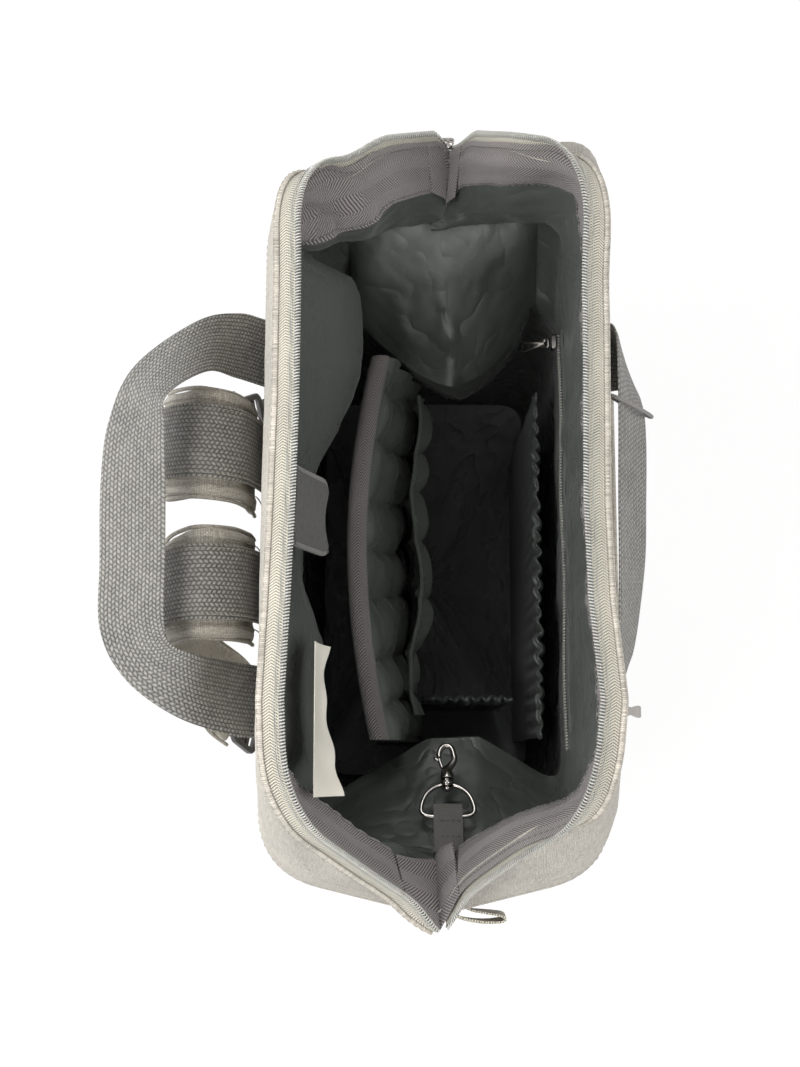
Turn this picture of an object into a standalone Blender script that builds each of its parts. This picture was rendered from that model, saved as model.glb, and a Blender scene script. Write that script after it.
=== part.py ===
"""A wide-mouth diaper backpack, standing on its base with its framed mouth open.

X runs along the mouth, -Y is the front and +Y the side that carries the shoulder
straps. The origin is the centre of the base's underside. Sizes are in metres.
"""

import math

import bmesh
import bpy
from mathutils import Matrix, Vector

# Clearance kept between touching pieces
GAP = 0.0003

# Shell of the bag: half sizes at the base's corners, and how the ends swell towards the top
BODY_TOP = 0.300
BODY_HALF_LENGTH = 0.165
BODY_HALF_DEPTH = 0.095
BODY_CORNER_RADIUS = 0.034
BASE_TUCK = 0.010
TUCK_HEIGHT = 0.070
END_CROWN = 0.005
END_FLARE = 0.044
CORNER_FLARE = 0.026
SHELL_THICKNESS = 0.0015
BASE_THICKNESS = 0.002
TOP_BULGE = 0.004

# Stiffening board and back padding
BOARD_THICKNESS = 0.003
BOARD_INSET = 0.009
PADDING_THICKNESS = 0.006
PADDING_LOW = 0.022
PADDING_HIGH = BODY_TOP - 0.015

# Mouth: the wire-framed rim, described closed, then swung open about the zip ends
TIP_REACH = 0.0465
TIP_STAND = 0.025
TIP_X = BODY_HALF_LENGTH + TIP_REACH
TIP_Z = BODY_TOP + TIP_STAND
RIM_INSET = 0.010
RIM_X = BODY_HALF_LENGTH - RIM_INSET
RIM_SPARE = 0.0262
RIM_RISE = BODY_HALF_DEPTH + RIM_SPARE
RIM_RADIUS = 0.034
MOUTH_ANGLE = math.radians(33.5)
LIP_WIDTH = 0.011
TAPE_THICKNESS = 0.0008
COIL_WIDTH = 0.0041
COIL_THICKNESS = 0.0026
ZIP_END_ROOM = 0.004
BINDING_WIDTH = 0.028
BINDING_THICKNESS = 0.0009
BINDING_LEAN = math.radians(30)
BINDING_INSET = 0.0025
WIRE_RADIUS = 0.0012
WIRE_DEPTH = 0.010

# Main zip slider and its puller
SLIDER_LENGTH = 0.009
SLIDER_WIDTH = 0.0075
SLIDER_THICKNESS = 0.0045
SLIDER_BACK = 0.0026
SLIDER_STAND = 0.0024
PULLER_LEAN = 0.19
PULLER_LENGTH = 0.030
PULLER_WIDTH = 0.008
PULLER_THICKNESS = 0.0016

# Lining: a loose bag whose ends fold inwards below the mouth
LINING_THICKNESS = 0.0008
LINING_END_ROOM = 0.015
LINING_SIDE_ROOM = 0.0105
LINING_TOP_ROOM = 0.008
LINING_HALF_LENGTH = BODY_HALF_LENGTH - LINING_END_ROOM
LINING_HALF_DEPTH = BODY_HALF_DEPTH - LINING_SIDE_ROOM
LINING_TOP_HALF_DEPTH = LINING_HALF_DEPTH - LINING_TOP_ROOM
LINING_CORNER_RADIUS = 0.020
LINING_TOP_END = LINING_HALF_LENGTH + 0.030
LINING_EDGE_ROOM = 0.0015
FOLD_HEIGHT = 0.240
FOLD_REACH = 0.042
FOLD_X = LINING_HALF_LENGTH - FOLD_REACH

# Tablet sleeve with its slip pocket
SLEEVE_LEFT = 0.030 - LINING_HALF_LENGTH
SLEEVE_RIGHT = LINING_HALF_LENGTH - 0.046
SLEEVE_TOP = BODY_TOP - 0.028
SLEEVE_SPACE = 0.0505
SLEEVE_Y = LINING_HALF_DEPTH - SLEEVE_SPACE
SLEEVE_THICKNESS = 0.008
SLEEVE_BINDING_WIDTH = 0.014
SLEEVE_BINDING_THICKNESS = 0.0011
SLIP_TOP = BODY_TOP - 0.065
SLIP_TOP_Y = SLEEVE_Y - 0.025
SLIP_BOTTOM_Y = SLEEVE_Y - 0.008
SLIP_THICKNESS = 0.002
SLIP_INSET = 0.015

# Gathered pockets inside
FRONT_POCKET_TOP = BODY_TOP - 0.075
FRONT_POCKET_Y = 0.0185 - LINING_HALF_DEPTH
FRONT_POCKET_LEFT = 0.032 - LINING_HALF_LENGTH
FRONT_POCKET_RIGHT = LINING_HALF_LENGTH - 0.056
END_POCKET_TOP = BODY_TOP - 0.110
END_POCKET_X = 0.056 - LINING_HALF_LENGTH
END_POCKET_FRONT = -0.052
END_POCKET_BACK = 0.004
GATHERED_THICKNESS = 0.002
GATHER_WAVE = 0.0012
GATHER_COUNT = 9

# Closure tab and care label, hung from the back rim
CLOSURE_X = -0.009
CLOSURE_WIDTH = 0.040
CLOSURE_THICKNESS = 0.0016
CLOSURE_DROP = 0.050
LABEL_X = 0.062 - BODY_HALF_LENGTH
LABEL_WIDTH = 0.066
LABEL_ROOM = 0.0022
LABEL_DROP = 0.034
LABEL_THICKNESS = 0.0005

# Front inner zip
INNER_ZIP_LEFT = -0.126
INNER_ZIP_RIGHT = 0.112
INNER_ZIP_Z = BODY_TOP - 0.014
INNER_TAPE_HEIGHT = 0.022
INNER_COIL_HEIGHT = 0.0042
INNER_COIL_THICKNESS = 0.0018
INNER_SLIDER_LENGTH = 0.009
INNER_SLIDER_HEIGHT = 0.008
INNER_SLIDER_THICKNESS = 0.0032
INNER_PULLER_LENGTH = 0.018
INNER_PULLER_WIDTH = 0.006
INNER_PULLER_THICKNESS = 0.0014
INNER_PULLER_DROP = 0.7

# Key clip, lying on the folded lining at the left end
KEY_Y = -0.0075
KEY_TAB_LENGTH = 0.0115
KEY_TAB_WIDTH = 0.0155
KEY_TAB_ROOM = 0.0052
KEY_TAB_STAND = 0.0016
KEY_TAB_DOWN = 0.0018
KEY_TAB_LIFT = math.radians(14)
KEY_TAB_THICKNESS = 0.0011
RING_WIDTH = 0.029
RING_DEPTH = 0.0185
RING_WIRE = 0.0012
COLLAR_RADIUS = 0.0036
COLLAR_LENGTH = 0.004
PIN_RADIUS = 0.0014
HOOK_LENGTH = 0.022
HOOK_WIDTH = 0.0082
HOOK_WIRE = 0.0016
GATE_WIRE = 0.0010

# Webbing handles
HANDLE_WEBBING = 0.0018
CORD_RADIUS = 0.0011

# Shoulder straps
STRAP_WIDTH = 0.062
STRAP_THICKNESS = 0.009
STRAP_WEBBING_WIDTH = 0.040
STRAP_WEBBING_THICKNESS = 0.0018
BUCKLE_WIDTH = 0.050
BUCKLE_LENGTH = 0.030
BUCKLE_THICKNESS = 0.004
BUCKLE_BAR = 0.005
BUCKLE_SLOT = 0.0055
BUCKLE_ROOM = 0.0010
LOWER_WEBBING_WIDTH = 0.038

# Front zip pocket
POCKET_BOTTOM = 0.018
POCKET_TOP = 0.205
POCKET_BULGE = 0.030
POCKET_THICKNESS = 0.0015
POCKET_SEAM = 0.0009
POCKET_STEPS = 9
POCKET_ZIP_ROW = 7
POCKET_ZIP_LEFT = -0.105
POCKET_ZIP_RIGHT = 0.105
POCKET_TAPE_HEIGHT = 0.018

# Side pockets
SIDE_POCKET_BOTTOM = 0.012
SIDE_POCKET_TOP = 0.190
SIDE_POCKET_BULGE = 0.024
SIDE_POCKET_THICKNESS = 0.0012

# Fabric loop at the left zip end, standing on edge along the wall
LOOP_Y = -0.014
LOOP_WIDTH = 0.014
LOOP_REACH = 0.024
LOOP_STAND = 0.0065
LOOP_Z = BODY_TOP - 0.011

# Mesh counts
SIDE_STEPS = 4
ARC_STEPS = 4
LONG_STEPS = 5
TOP_STEPS = 3

MATERIALS = {
    "outer": ((0.52, 0.48, 0.44), 0.85, 0.0),
    "webbing": ((0.27, 0.26, 0.25), 0.9, 0.0),
    "zip_tape": ((0.55, 0.53, 0.46), 0.85, 0.0),
    "coil": ((0.36, 0.37, 0.35), 0.45, 0.0),
    "binding": ((0.23, 0.21, 0.205), 0.9, 0.0),
    "lining": ((0.10, 0.12, 0.11), 0.5, 0.0),
    "steel": ((0.35, 0.34, 0.33), 0.35, 1.0),
    "dark_metal": ((0.16, 0.15, 0.14), 0.3, 1.0),
    "label": ((0.80, 0.76, 0.66), 0.8, 0.0),
    "padding": ((0.10, 0.10, 0.10), 0.95, 0.0),
    "board": ((0.12, 0.12, 0.12), 0.8, 0.0),
    "plastic": ((0.10, 0.10, 0.10), 0.4, 0.0),
    "elastic": ((0.30, 0.29, 0.28), 0.8, 0.0),
}

QUARTER = SIDE_STEPS + ARC_STEPS + LONG_STEPS
LOOP = 4 * QUARTER
SEAM = SIDE_STEPS + ARC_STEPS // 2
RIM_Z = TIP_Z + RIM_RISE


def material(name):
    """The Principled material of one finish, made once."""
    found = bpy.data.materials.get(name)
    if found:
        return found
    colour, roughness, metallic = MATERIALS[name]
    made = bpy.data.materials.new(name)
    made.use_nodes = True
    shader = made.node_tree.nodes["Principled BSDF"]
    shader.inputs["Base Color"].default_value = (*colour, 1)
    shader.inputs["Roughness"].default_value = roughness
    shader.inputs["Metallic"].default_value = metallic
    return made


def piece(name, points, faces, finish, pivot=(0, 0, 0)):
    """One closed mesh as an object, with its origin on its joint's axis."""
    pivot = Vector(pivot)
    mesh = bpy.data.meshes.new(name)
    mesh.from_pydata([Vector(p) - pivot for p in points], [], faces)
    shape = bmesh.new()
    shape.from_mesh(mesh)
    bmesh.ops.recalc_face_normals(shape, faces=shape.faces)
    shape.to_mesh(mesh)
    shape.free()
    mesh.shade_smooth()
    mesh.set_sharp_from_angle(angle=math.radians(40))
    mesh.materials.append(material(finish))
    made = bpy.data.objects.new(name, mesh)
    made.location = pivot
    bpy.context.collection.objects.link(made)
    return made


def smooth(t):
    """0 to 1 with level ends."""
    t = min(max(t, 0.0), 1.0)
    return t * t * (3 - 2 * t)


def mix(a, b, t):
    return a + (b - a) * t


def bezier(a, b, c, t):
    return a * (1 - t) ** 2 + b * (2 * t * (1 - t)) + c * t * t


def curve_through(keys, steps):
    """A smooth curve through the keys, with that many steps between each two."""
    keys = [Vector(k) for k in keys]
    ends = [2 * keys[0] - keys[1], *keys, 2 * keys[-1] - keys[-2]]
    points = []
    for a, b, c, d in zip(ends, ends[1:], ends[2:], ends[3:]):
        for i in range(steps):
            t = i / steps
            points.append(
                0.5 * (2 * b + (c - a) * t + (2 * a - 5 * b + 4 * c - d) * t**2)
                + 0.5 * (3 * b - a - 3 * c + d) * t**3
            )
    return points + [keys[-1]]


def quarter(end, corner, middle, radius):
    """From the middle of an end, round one corner, to the middle of a long side."""
    start = corner + (end - corner).normalized() * radius
    stop = corner + (middle - corner).normalized() * radius
    points = [end.lerp(start, i / SIDE_STEPS) for i in range(SIDE_STEPS)]
    points += [bezier(start, corner, stop, i / ARC_STEPS) for i in range(ARC_STEPS)]
    return points + [stop.lerp(middle, i / LONG_STEPS) for i in range(LONG_STEPS + 1)]


def whole_loop(end, corner, middle, radius):
    """The closed loop of four quarters, from the right end round the front."""
    points = quarter(Vector(end), Vector(corner), Vector(middle), radius)
    front = points + [mirrored(p, -1, 1) for p in points[-2::-1]]
    return front + [mirrored(p, 1, -1) for p in front[-2:0:-1]]


def mirrored(p, x, y):
    return Vector((p.x * x, p.y * y, p.z))


def sheet_normals(grid, wrap=False):
    """A unit normal at each point of a grid, leaning away from the Z axis."""
    rows, columns = len(grid), len(grid[0])
    normals = []
    lean = 0.0
    for r in range(rows):
        line = []
        for c in range(columns):
            down = grid[min(r + 1, rows - 1)][c] - grid[max(r - 1, 0)][c]
            after = (c + 1) % columns if wrap else min(c + 1, columns - 1)
            before = c - 1 if wrap else max(c - 1, 0)
            along = grid[r][after] - grid[r][before]
            normal = along.cross(down).normalized()
            lean += normal.x * grid[r][c].x + normal.y * grid[r][c].y
            line.append(normal)
        normals.append(line)
    if lean < 0:
        normals = [[-n for n in line] for line in normals]
    return normals


def trimmed(grid):
    """The grid drawn in by half a gap at its borders, so that neighbours clear."""
    grid = [[p.copy() for p in line] for line in grid]
    for line in grid:
        step = (line[1] - line[0]).normalized() * GAP / 2
        back = (line[-2] - line[-1]).normalized() * GAP / 2
        line[0] += step
        line[-1] += back
    for first, second in ((0, 1), (-1, -2)):
        for a, b in zip(grid[first], grid[second]):
            a += (b - a).normalized() * GAP / 2
    return grid


def slab(name, grid, outer, inner, finish, pivot=(0, 0, 0), normals=None):
    """A sheet between two offsets of a grid, measured inwards from it."""
    normals = normals or sheet_normals(grid)
    rows, columns = len(grid), len(grid[0])
    points = []
    for inset in (outer, inner):
        for line, line_normals in zip(grid, normals):
            points += [p - n * inset for p, n in zip(line, line_normals)]
    layer = rows * columns
    faces = []
    for r in range(rows - 1):
        for c in range(columns - 1):
            a = r * columns + c
            for half in ((a, a + 1, a + columns + 1), (a, a + columns + 1, a + columns)):
                faces.append(half)
                faces.append(tuple(layer + i for i in reversed(half)))
    border = [c for c in range(columns)]
    border += [r * columns + columns - 1 for r in range(1, rows)]
    border += [(rows - 1) * columns + c for c in range(columns - 2, -1, -1)]
    border += [r * columns for r in range(rows - 2, 0, -1)]
    for a, b in zip(border, border[1:] + border[:1]):
        faces.append((b, a, layer + a, layer + b))
    return piece(name, points, faces, finish, pivot)


def prism(name, rings, finish, pivot=(0, 0, 0), closed=False):
    """Rings of equal count joined in turn, capped at both ends unless closed."""
    count = len(rings[0])
    points = [p for ring in rings for p in ring]
    faces = []
    last = len(rings) if closed else len(rings) - 1
    for r in range(last):
        low, high = r * count, (r + 1) % len(rings) * count
        for i in range(count):
            j = (i + 1) % count
            faces.append((low + i, low + j, high + j, high + i))
    if not closed:
        faces.append(tuple(range(count)))
        faces.append(tuple(range(len(points) - 1, len(points) - count - 1, -1)))
    return piece(name, points, faces, finish, pivot)


def tube(name, path, radii, sides, finish, pivot=(0, 0, 0), closed=False):
    """A round tube along a path, with a radius for each of its points."""
    count = len(path)
    if not isinstance(radii, (list, tuple)):
        radii = [radii] * count
    rings = []
    up = None
    for i, (p, radius) in enumerate(zip(path, radii)):
        after = path[(i + 1) % count] if closed else path[min(i + 1, count - 1)]
        before = path[i - 1] if closed else path[max(i - 1, 0)]
        along = (after - before).normalized()
        if up is None:
            up = along.orthogonal().normalized()
        up = (up - along * up.dot(along)).normalized()
        side = along.cross(up)
        turns = [2 * math.pi * k / sides for k in range(sides)]
        rings.append([p + (up * math.cos(a) + side * math.sin(a)) * radius for a in turns])
    return prism(name, rings, finish, pivot, closed)


def block(name, centre, size, finish, frame=None, bevel=0.0, pivot=None):
    """A box with rounded edges, set in a frame of its own if given."""
    frame = frame or Matrix.Identity(4)
    half = Vector(size) / 2
    signs = ((-1, -1), (1, -1), (1, 1), (-1, 1))
    rings = [
        [frame @ (Vector(centre) + Vector((x * half.x, y * half.y, z * half.z))) for x, y in signs]
        for z in (-1, 1)
    ]
    made = prism(name, rings, finish, pivot or frame @ Vector(centre))
    if bevel:
        edges = made.modifiers.new("rounded", "BEVEL")
        edges.width = bevel
        edges.segments = 2
        edges.limit_method = "ANGLE"
    return made


def lattice(name, xs, ys, holes, thickness, finish, frame, pivot):
    """A flat plate on a grid of cells, open where a cell is a hole."""
    points = []
    for z in (-thickness / 2, thickness / 2):
        points += [frame @ Vector((x, y, z)) for y in ys for x in xs]
    across, layer = len(xs), len(xs) * len(ys)
    solid = {(i, j) for i in range(across - 1) for j in range(len(ys) - 1)} - set(holes)
    faces = []
    for i, j in sorted(solid):
        a = j * across + i
        corners = (a, a + 1, a + 1 + across, a + across)
        faces.append(corners[::-1])
        faces.append(tuple(layer + c for c in corners))
        beside = ((i, j - 1), (i + 1, j), (i, j + 1), (i - 1, j))
        for k, cell in enumerate(beside):
            if cell not in solid:
                b, c = corners[k], corners[(k + 1) % 4]
                faces.append((b, c, layer + c, layer + b))
    return piece(name, points, faces, finish, pivot)


def strip(name, keys, width, thickness, finish, steps=3, lift=0.0, columns=2, pivot=(0, 0, 0)):
    """A flat band along keys, its width square to its run and as near X as it can be."""
    path = curve_through(keys, steps)
    grid = []
    for i, p in enumerate(path):
        along = (path[min(i + 1, len(path) - 1)] - path[max(i - 1, 0)]).normalized()
        across = (Vector((1, 0, 0)) - along * along.x).normalized()
        centre = p + across.cross(along) * lift
        shares = [k / (columns - 1) - 0.5 for k in range(columns)]
        grid.append([centre + across * width * s for s in shares])
    return slab(name, grid, -thickness / 2, thickness / 2, finish, pivot)


def twisted_band(name, edges, thickness, finish, pivot, steps=2):
    """A band between two edge curves, each through its own keys."""
    outer = curve_through([e[0] for e in edges], steps)
    inner = curve_through([e[1] for e in edges], steps)
    grid = [[a, a.lerp(b, 0.5), b] for a, b in zip(outer, inner)]
    return slab(name, grid, -thickness / 2, thickness / 2, finish, pivot)


def body_section(z):
    """End, corner and middle of the shell's section at a height, front right quarter."""
    tuck = BASE_TUCK * max(0.0, 1 - z / TUCK_HEIGHT) ** 2
    x = BODY_HALF_LENGTH - tuck
    y = -(BODY_HALF_DEPTH - tuck)
    swell = (z / BODY_TOP) ** 2
    end = x + END_CROWN + END_FLARE * swell
    return Vector((end, 0, z)), Vector((x + CORNER_FLARE * swell, y, z)), Vector((0, y, z))


def body_levels():
    """Heights of the shell's rows, closest where the base draws in."""
    floor = BASE_THICKNESS + GAP
    return [mix(floor, TUCK_HEIGHT, t) for t in (0, 0.33, 0.66)] + body_heights(TUCK_HEIGHT, BODY_TOP, 4)


def wall_depth(z):
    """How far the flat of the front or back panel stands from the middle at a height."""
    levels = body_levels()
    for low, high in zip(levels, levels[1:]):
        if z <= high:
            depths = [-body_section(level)[2].y for level in (low, high)]
            return mix(*depths, (z - low) / (high - low))
    return BODY_HALF_DEPTH


def body_loop(z):
    return whole_loop(*body_section(z), BODY_CORNER_RADIUS)


def opened(x, y, rise):
    """A point of the front rim, given closed with its rise above the zip ends, swung open."""
    c, s = math.cos(MOUTH_ANGLE), math.sin(MOUTH_ANGLE)
    return Vector((x, y * c - rise * s, TIP_Z + y * s + rise * c))


def rim_seam_section():
    """End, corner and middle of the line where the shell is sewn to the rim."""
    allowance = SHELL_THICKNESS + GAP
    y = -(LIP_WIDTH + allowance)
    middle = opened(0, y, RIM_RISE)
    corner = opened(RIM_X + allowance, y, RIM_RISE)
    tip = opened(TIP_X + allowance, y, 0)
    end = tip + (tip - corner) * (tip.y / (corner.y - tip.y))
    end.y = 0
    return end, corner, middle


def rim_seam_loop():
    return whole_loop(*rim_seam_section(), RIM_RADIUS)


def upper_rows():
    """The shell from the body's top to the rim seam."""
    low, high = body_loop(BODY_TOP), rim_seam_loop()
    rows = []
    for i in range(TOP_STEPS + 1):
        t = i / TOP_STEPS
        line = []
        for a, b in zip(low, high):
            p = a.lerp(b, t)
            out = Vector((p.x / BODY_HALF_LENGTH, p.y / BODY_HALF_DEPTH, 0)).normalized()
            line.append(p + out * TOP_BULGE * math.sin(math.pi * t) * abs(p.y) / BODY_HALF_DEPTH)
        rows.append(line)
    return rows


def columns_of(rows, first, last):
    return [[line[c % LOOP] for c in range(first, last + 1)] for line in rows]


PANELS = {
    "front": (SEAM, 2 * QUARTER - SEAM),
    "left": (2 * QUARTER - SEAM, 2 * QUARTER + SEAM),
    "back": (2 * QUARTER + SEAM, 4 * QUARTER - SEAM),
    "right": (4 * QUARTER - SEAM, 4 * QUARTER + SEAM),
}


def sector(name, rows, normals, span, thickness, finish):
    """One panel of a closed wall, its seams mitred with its neighbours."""
    grid = trimmed(columns_of(rows, *span))
    slab(name, grid, 0, thickness, finish, normals=columns_of(normals, *span))


def body_heights(low, high, steps):
    return [mix(low, high, i / steps) for i in range(steps + 1)]


def shell():
    """Base, four panels, and the four parts above them that fold with the mouth."""
    rows = [body_loop(z) for z in body_levels()]
    seam = len(rows) - 1
    rows += upper_rows()[1:]
    normals = sheet_normals(rows, wrap=True)
    names = {"front": "front_panel", "back": "back_panel"}
    names |= {"left": "side_panel_left", "right": "side_panel_right"}
    tops = {"front": "front_panel_top", "back": "back_panel_top"}
    tops |= {"left": "gusset_left", "right": "gusset_right"}
    for side, span in PANELS.items():
        sector(names[side], rows[: seam + 1], normals[: seam + 1], span, SHELL_THICKNESS, "outer")
        sector(tops[side], rows[seam:], normals[seam:], span, SHELL_THICKNESS, "outer")
    outline = body_loop(0)
    rings = [[Vector((p.x, p.y, z)) for p in outline] for z in (0, BASE_THICKNESS)]
    prism("base_panel", rings, "outer")
    inner = [p * (1 - BOARD_INSET / BODY_HALF_DEPTH) for p in outline]
    low = BASE_THICKNESS + GAP
    heights = (low, low + BOARD_THICKNESS)
    prism("base_board", [[Vector((p.x, p.y, z)) for p in inner] for z in heights], "board")


def padding():
    """Foam between the back panel and the lining."""
    rows = [body_loop(z) for z in body_heights(PADDING_LOW, PADDING_HIGH, 4)]
    first, last = PANELS["back"]
    grid = columns_of(rows, first + 2, last - 2)
    outer = SHELL_THICKNESS + GAP
    slab("back_padding", grid, outer, outer + PADDING_THICKNESS, "padding")


def rim_path():
    """Points of the closed rim with the inward normal at each, right end to left end."""
    tip = Vector((TIP_X, 0, 0))
    corner = Vector((RIM_X, 0, RIM_RISE))
    tip += (corner - tip).normalized() * ZIP_END_ROOM
    half = quarter(tip, corner, Vector((0, 0, RIM_RISE)), RIM_RADIUS)
    points = half + [mirrored(p, -1, 1) for p in half[-2::-1]]
    path = []
    for i, p in enumerate(points):
        along = (points[min(i + 1, len(points) - 1)] - points[max(i - 1, 0)]).normalized()
        path.append((p, Vector((-along.z, 0, along.x))))
    return path


def rim_strip(name, side, section, finish):
    """A section of (across, depth) points swept along one half of the rim."""
    rings = []
    for p, inward in rim_path():
        ring = []
        for across, depth in section:
            q = p + inward * depth
            ring.append(mirrored(opened(q.x, -across, q.z), 1, side))
        rings.append(ring)
    pivot = (0, 0, TIP_Z)
    return prism(name, rings, finish, pivot)


def round_section(across, depth, wide, deep, sides):
    turns = [2 * math.pi * k / sides for k in range(sides)]
    return [(across + wide * math.cos(a), depth + deep * math.sin(a)) for a in turns]


def binding_point(run, off):
    """A point of the binding's line, with how far it lies off it towards the bag's inside."""
    c, s = math.cos(BINDING_LEAN), math.sin(BINDING_LEAN)
    drop = TAPE_THICKNESS / 2 + GAP
    return LIP_WIDTH - BINDING_INSET + run * s - off * c, drop + run * c + off * s


def mouth():
    """Tapes, coils, bindings and frame wires of both halves of the rim."""
    half = TAPE_THICKNESS / 2
    tape_edge = COIL_WIDTH + 2 * GAP
    tape = [(LIP_WIDTH, -half), (LIP_WIDTH, half), (tape_edge, half), (tape_edge, -half)]
    coil = round_section(GAP + COIL_WIDTH / 2, 0, COIL_WIDTH / 2, COIL_THICKNESS / 2, 6)
    ends = ((0, 0), (BINDING_WIDTH, 0), (BINDING_WIDTH, BINDING_THICKNESS), (0, BINDING_THICKNESS))
    binding = [binding_point(run, off) for run, off in ends]
    across, depth = binding_point(WIRE_DEPTH, -(WIRE_RADIUS + GAP))
    wire = round_section(across, depth, WIRE_RADIUS, WIRE_RADIUS, 6)
    for side, word in ((1, "front"), (-1, "back")):
        rim_strip(f"zip_tape_{word}", side, tape, "zip_tape")
        rim_strip(f"zip_coil_{word}", side, coil, "coil")
        rim_strip(f"binding_{word}", side, binding, "binding")
        rim_strip(f"frame_wire_{word}", side, wire, "steel")


def frame_at(origin, x_axis, z_axis):
    """A frame whose X and Z run as given, as near as square lets Z."""
    x_axis = x_axis.normalized()
    y_axis = z_axis.cross(x_axis).normalized()
    z_axis = x_axis.cross(y_axis)
    turned = Matrix((x_axis, y_axis, z_axis)).transposed().to_4x4()
    return Matrix.Translation(origin) @ turned


def puller(name, length, width, thickness, frame, pivot, finish):
    """A flat zip puller with an eye at its head, running along the frame's X."""
    wall = width * 0.3
    xs = (0, wall, wall + width * 0.4, length)
    ys = (-width / 2, -width / 2 + wall, width / 2 - wall, width / 2)
    return lattice(name, xs, ys, [(1, 1)], thickness, finish, frame, pivot)


def main_slider():
    """The slider that rests past the right zip end, and its hanging puller."""
    leg = Vector((TIP_X - RIM_X, 0, -RIM_RISE)).normalized()
    outward = Vector((-leg.z, 0, leg.x))
    centre = Vector((TIP_X, 0, TIP_Z)) + leg * (SLIDER_LENGTH / 2 - SLIDER_BACK) + outward * SLIDER_STAND
    frame = frame_at(centre, leg, outward)
    size = (SLIDER_LENGTH, SLIDER_WIDTH, SLIDER_THICKNESS)
    block("main_slider", (0, 0, 0), size, "dark_metal", frame, 0.001)
    pivot = centre + outward * (SLIDER_THICKNESS / 2 + GAP + PULLER_THICKNESS / 2)
    pivot += leg * SLIDER_LENGTH / 2
    hang = frame_at(pivot, Vector((PULLER_LEAN, 0, -1)), Vector((1, 0, PULLER_LEAN)))
    pull = (PULLER_LENGTH, PULLER_WIDTH, PULLER_THICKNESS)
    puller("main_puller", *pull, hang, pivot, "dark_metal")


def lining_section(z):
    """End, corner and middle of the lining at a height, front right quarter."""
    tuck = BASE_TUCK * max(0.0, 1 - z / TUCK_HEIGHT) ** 2
    share = smooth((z / BODY_TOP - 0.5) * 2)
    y = -(mix(LINING_HALF_DEPTH, LINING_TOP_HALF_DEPTH, share) - tuck)
    x = LINING_HALF_LENGTH - tuck
    if z > FOLD_HEIGHT:
        end = mix(FOLD_X, LINING_TOP_END, (z - FOLD_HEIGHT) / (BODY_TOP - FOLD_HEIGHT))
    else:
        end = mix(x, FOLD_X, smooth(z / FOLD_HEIGHT))
    return Vector((end, 0, z)), Vector((x, y, z)), Vector((0, y, z))


def lining_loop(z):
    return whole_loop(*lining_section(z), LINING_CORNER_RADIUS)


def lining_floor():
    return BASE_THICKNESS + BOARD_THICKNESS + 3 * GAP


def lining_bag():
    """The lower lining as one open bag with a floor."""
    floor = lining_floor()
    heights = [floor] + [FOLD_HEIGHT * share for share in (0.21, 0.46, 0.71, 0.92, 1)]
    heights += [mix(FOLD_HEIGHT, BODY_TOP, 0.5), BODY_TOP - GAP]
    outer = [lining_loop(z) for z in heights]
    inner = []
    for line, normals in zip(outer, sheet_normals(outer, wrap=True)):
        flat = [Vector((n.x, n.y, 0)).normalized() for n in normals]
        inner.append([p - n * LINING_THICKNESS for p, n in zip(line, flat)])
    for p in inner[0]:
        p.z += LINING_THICKNESS
    prism("lining_bag", outer + inner[::-1], "lining")


def lining_tops():
    """The lining between the bag below and the bindings, in four parts."""
    low = lining_loop(BODY_TOP)
    across, depth = binding_point(BINDING_WIDTH + LINING_EDGE_ROOM, 0)
    edge = []
    path = rim_path()
    for p, inward in path:
        q = p + inward * depth
        edge.append(opened(q.x, -across, q.z))
    front = edge[:]
    back = [mirrored(p, 1, -1) for p in reversed(edge)]
    high = front + back[1:-1]
    for i in (0, 2 * QUARTER):
        high[i] = Vector((high[i].x, 0, high[i].z))
    rows = [[a.lerp(b, t / 4) for a, b in zip(low, high)] for t in range(5)]
    normals = sheet_normals(rows, wrap=True)
    for side, span in PANELS.items():
        sector(f"lining_top_{side}", rows, normals, span, LINING_THICKNESS, "lining")


def wavy(x, count, depth, length):
    return depth * math.sin(2 * math.pi * count * x / length)


def sleeve():
    """The padded tablet sleeve, its bound edge and the slip pocket on it."""
    floor = lining_floor() + LINING_THICKNESS + GAP
    xs = [mix(SLEEVE_LEFT, SLEEVE_RIGHT, i / 8) for i in range(9)]
    zs = [mix(floor, SLEEVE_TOP, i / 4) for i in range(5)]
    bow = [0.006 * math.sin(math.pi * i / 8) for i in range(9)]
    grid = [[Vector((x, SLEEVE_Y + b, z)) for x, b in zip(xs, bow)] for z in zs]
    half = SLEEVE_THICKNESS / 2
    slab("sleeve_panel", grid, -half, half, "lining")
    rings = []
    inner = half + GAP
    outer = inner + SLEEVE_BINDING_THICKNESS
    low = SLEEVE_TOP - SLEEVE_BINDING_WIDTH
    top = SLEEVE_TOP + GAP
    high = top + SLEEVE_BINDING_THICKNESS
    section = ((-outer, low), (-outer, high), (outer, high), (outer, low))
    section += ((inner, low), (inner, top), (-inner, top), (-inner, low))
    for x, b in zip(xs, bow):
        rings.append([Vector((x, SLEEVE_Y + b + y, z)) for y, z in section])
    prism("sleeve_binding", rings, "binding")
    count = 16
    grid = []
    for i in range(5):
        t = i / 4
        z = mix(floor, SLIP_TOP, t)
        line = []
        for k in range(count + 1):
            x = mix(SLEEVE_LEFT + SLIP_INSET, SLEEVE_RIGHT - SLIP_INSET, k / count)
            y = mix(SLIP_BOTTOM_Y, SLIP_TOP_Y, t) + wavy(x, 4, 0.0015, SLEEVE_RIGHT - SLEEVE_LEFT) * t
            line.append(Vector((x, y, z)))
        grid.append(line)
    slab("slip_pocket", grid, -SLIP_THICKNESS / 2, SLIP_THICKNESS / 2, "lining")


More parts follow.
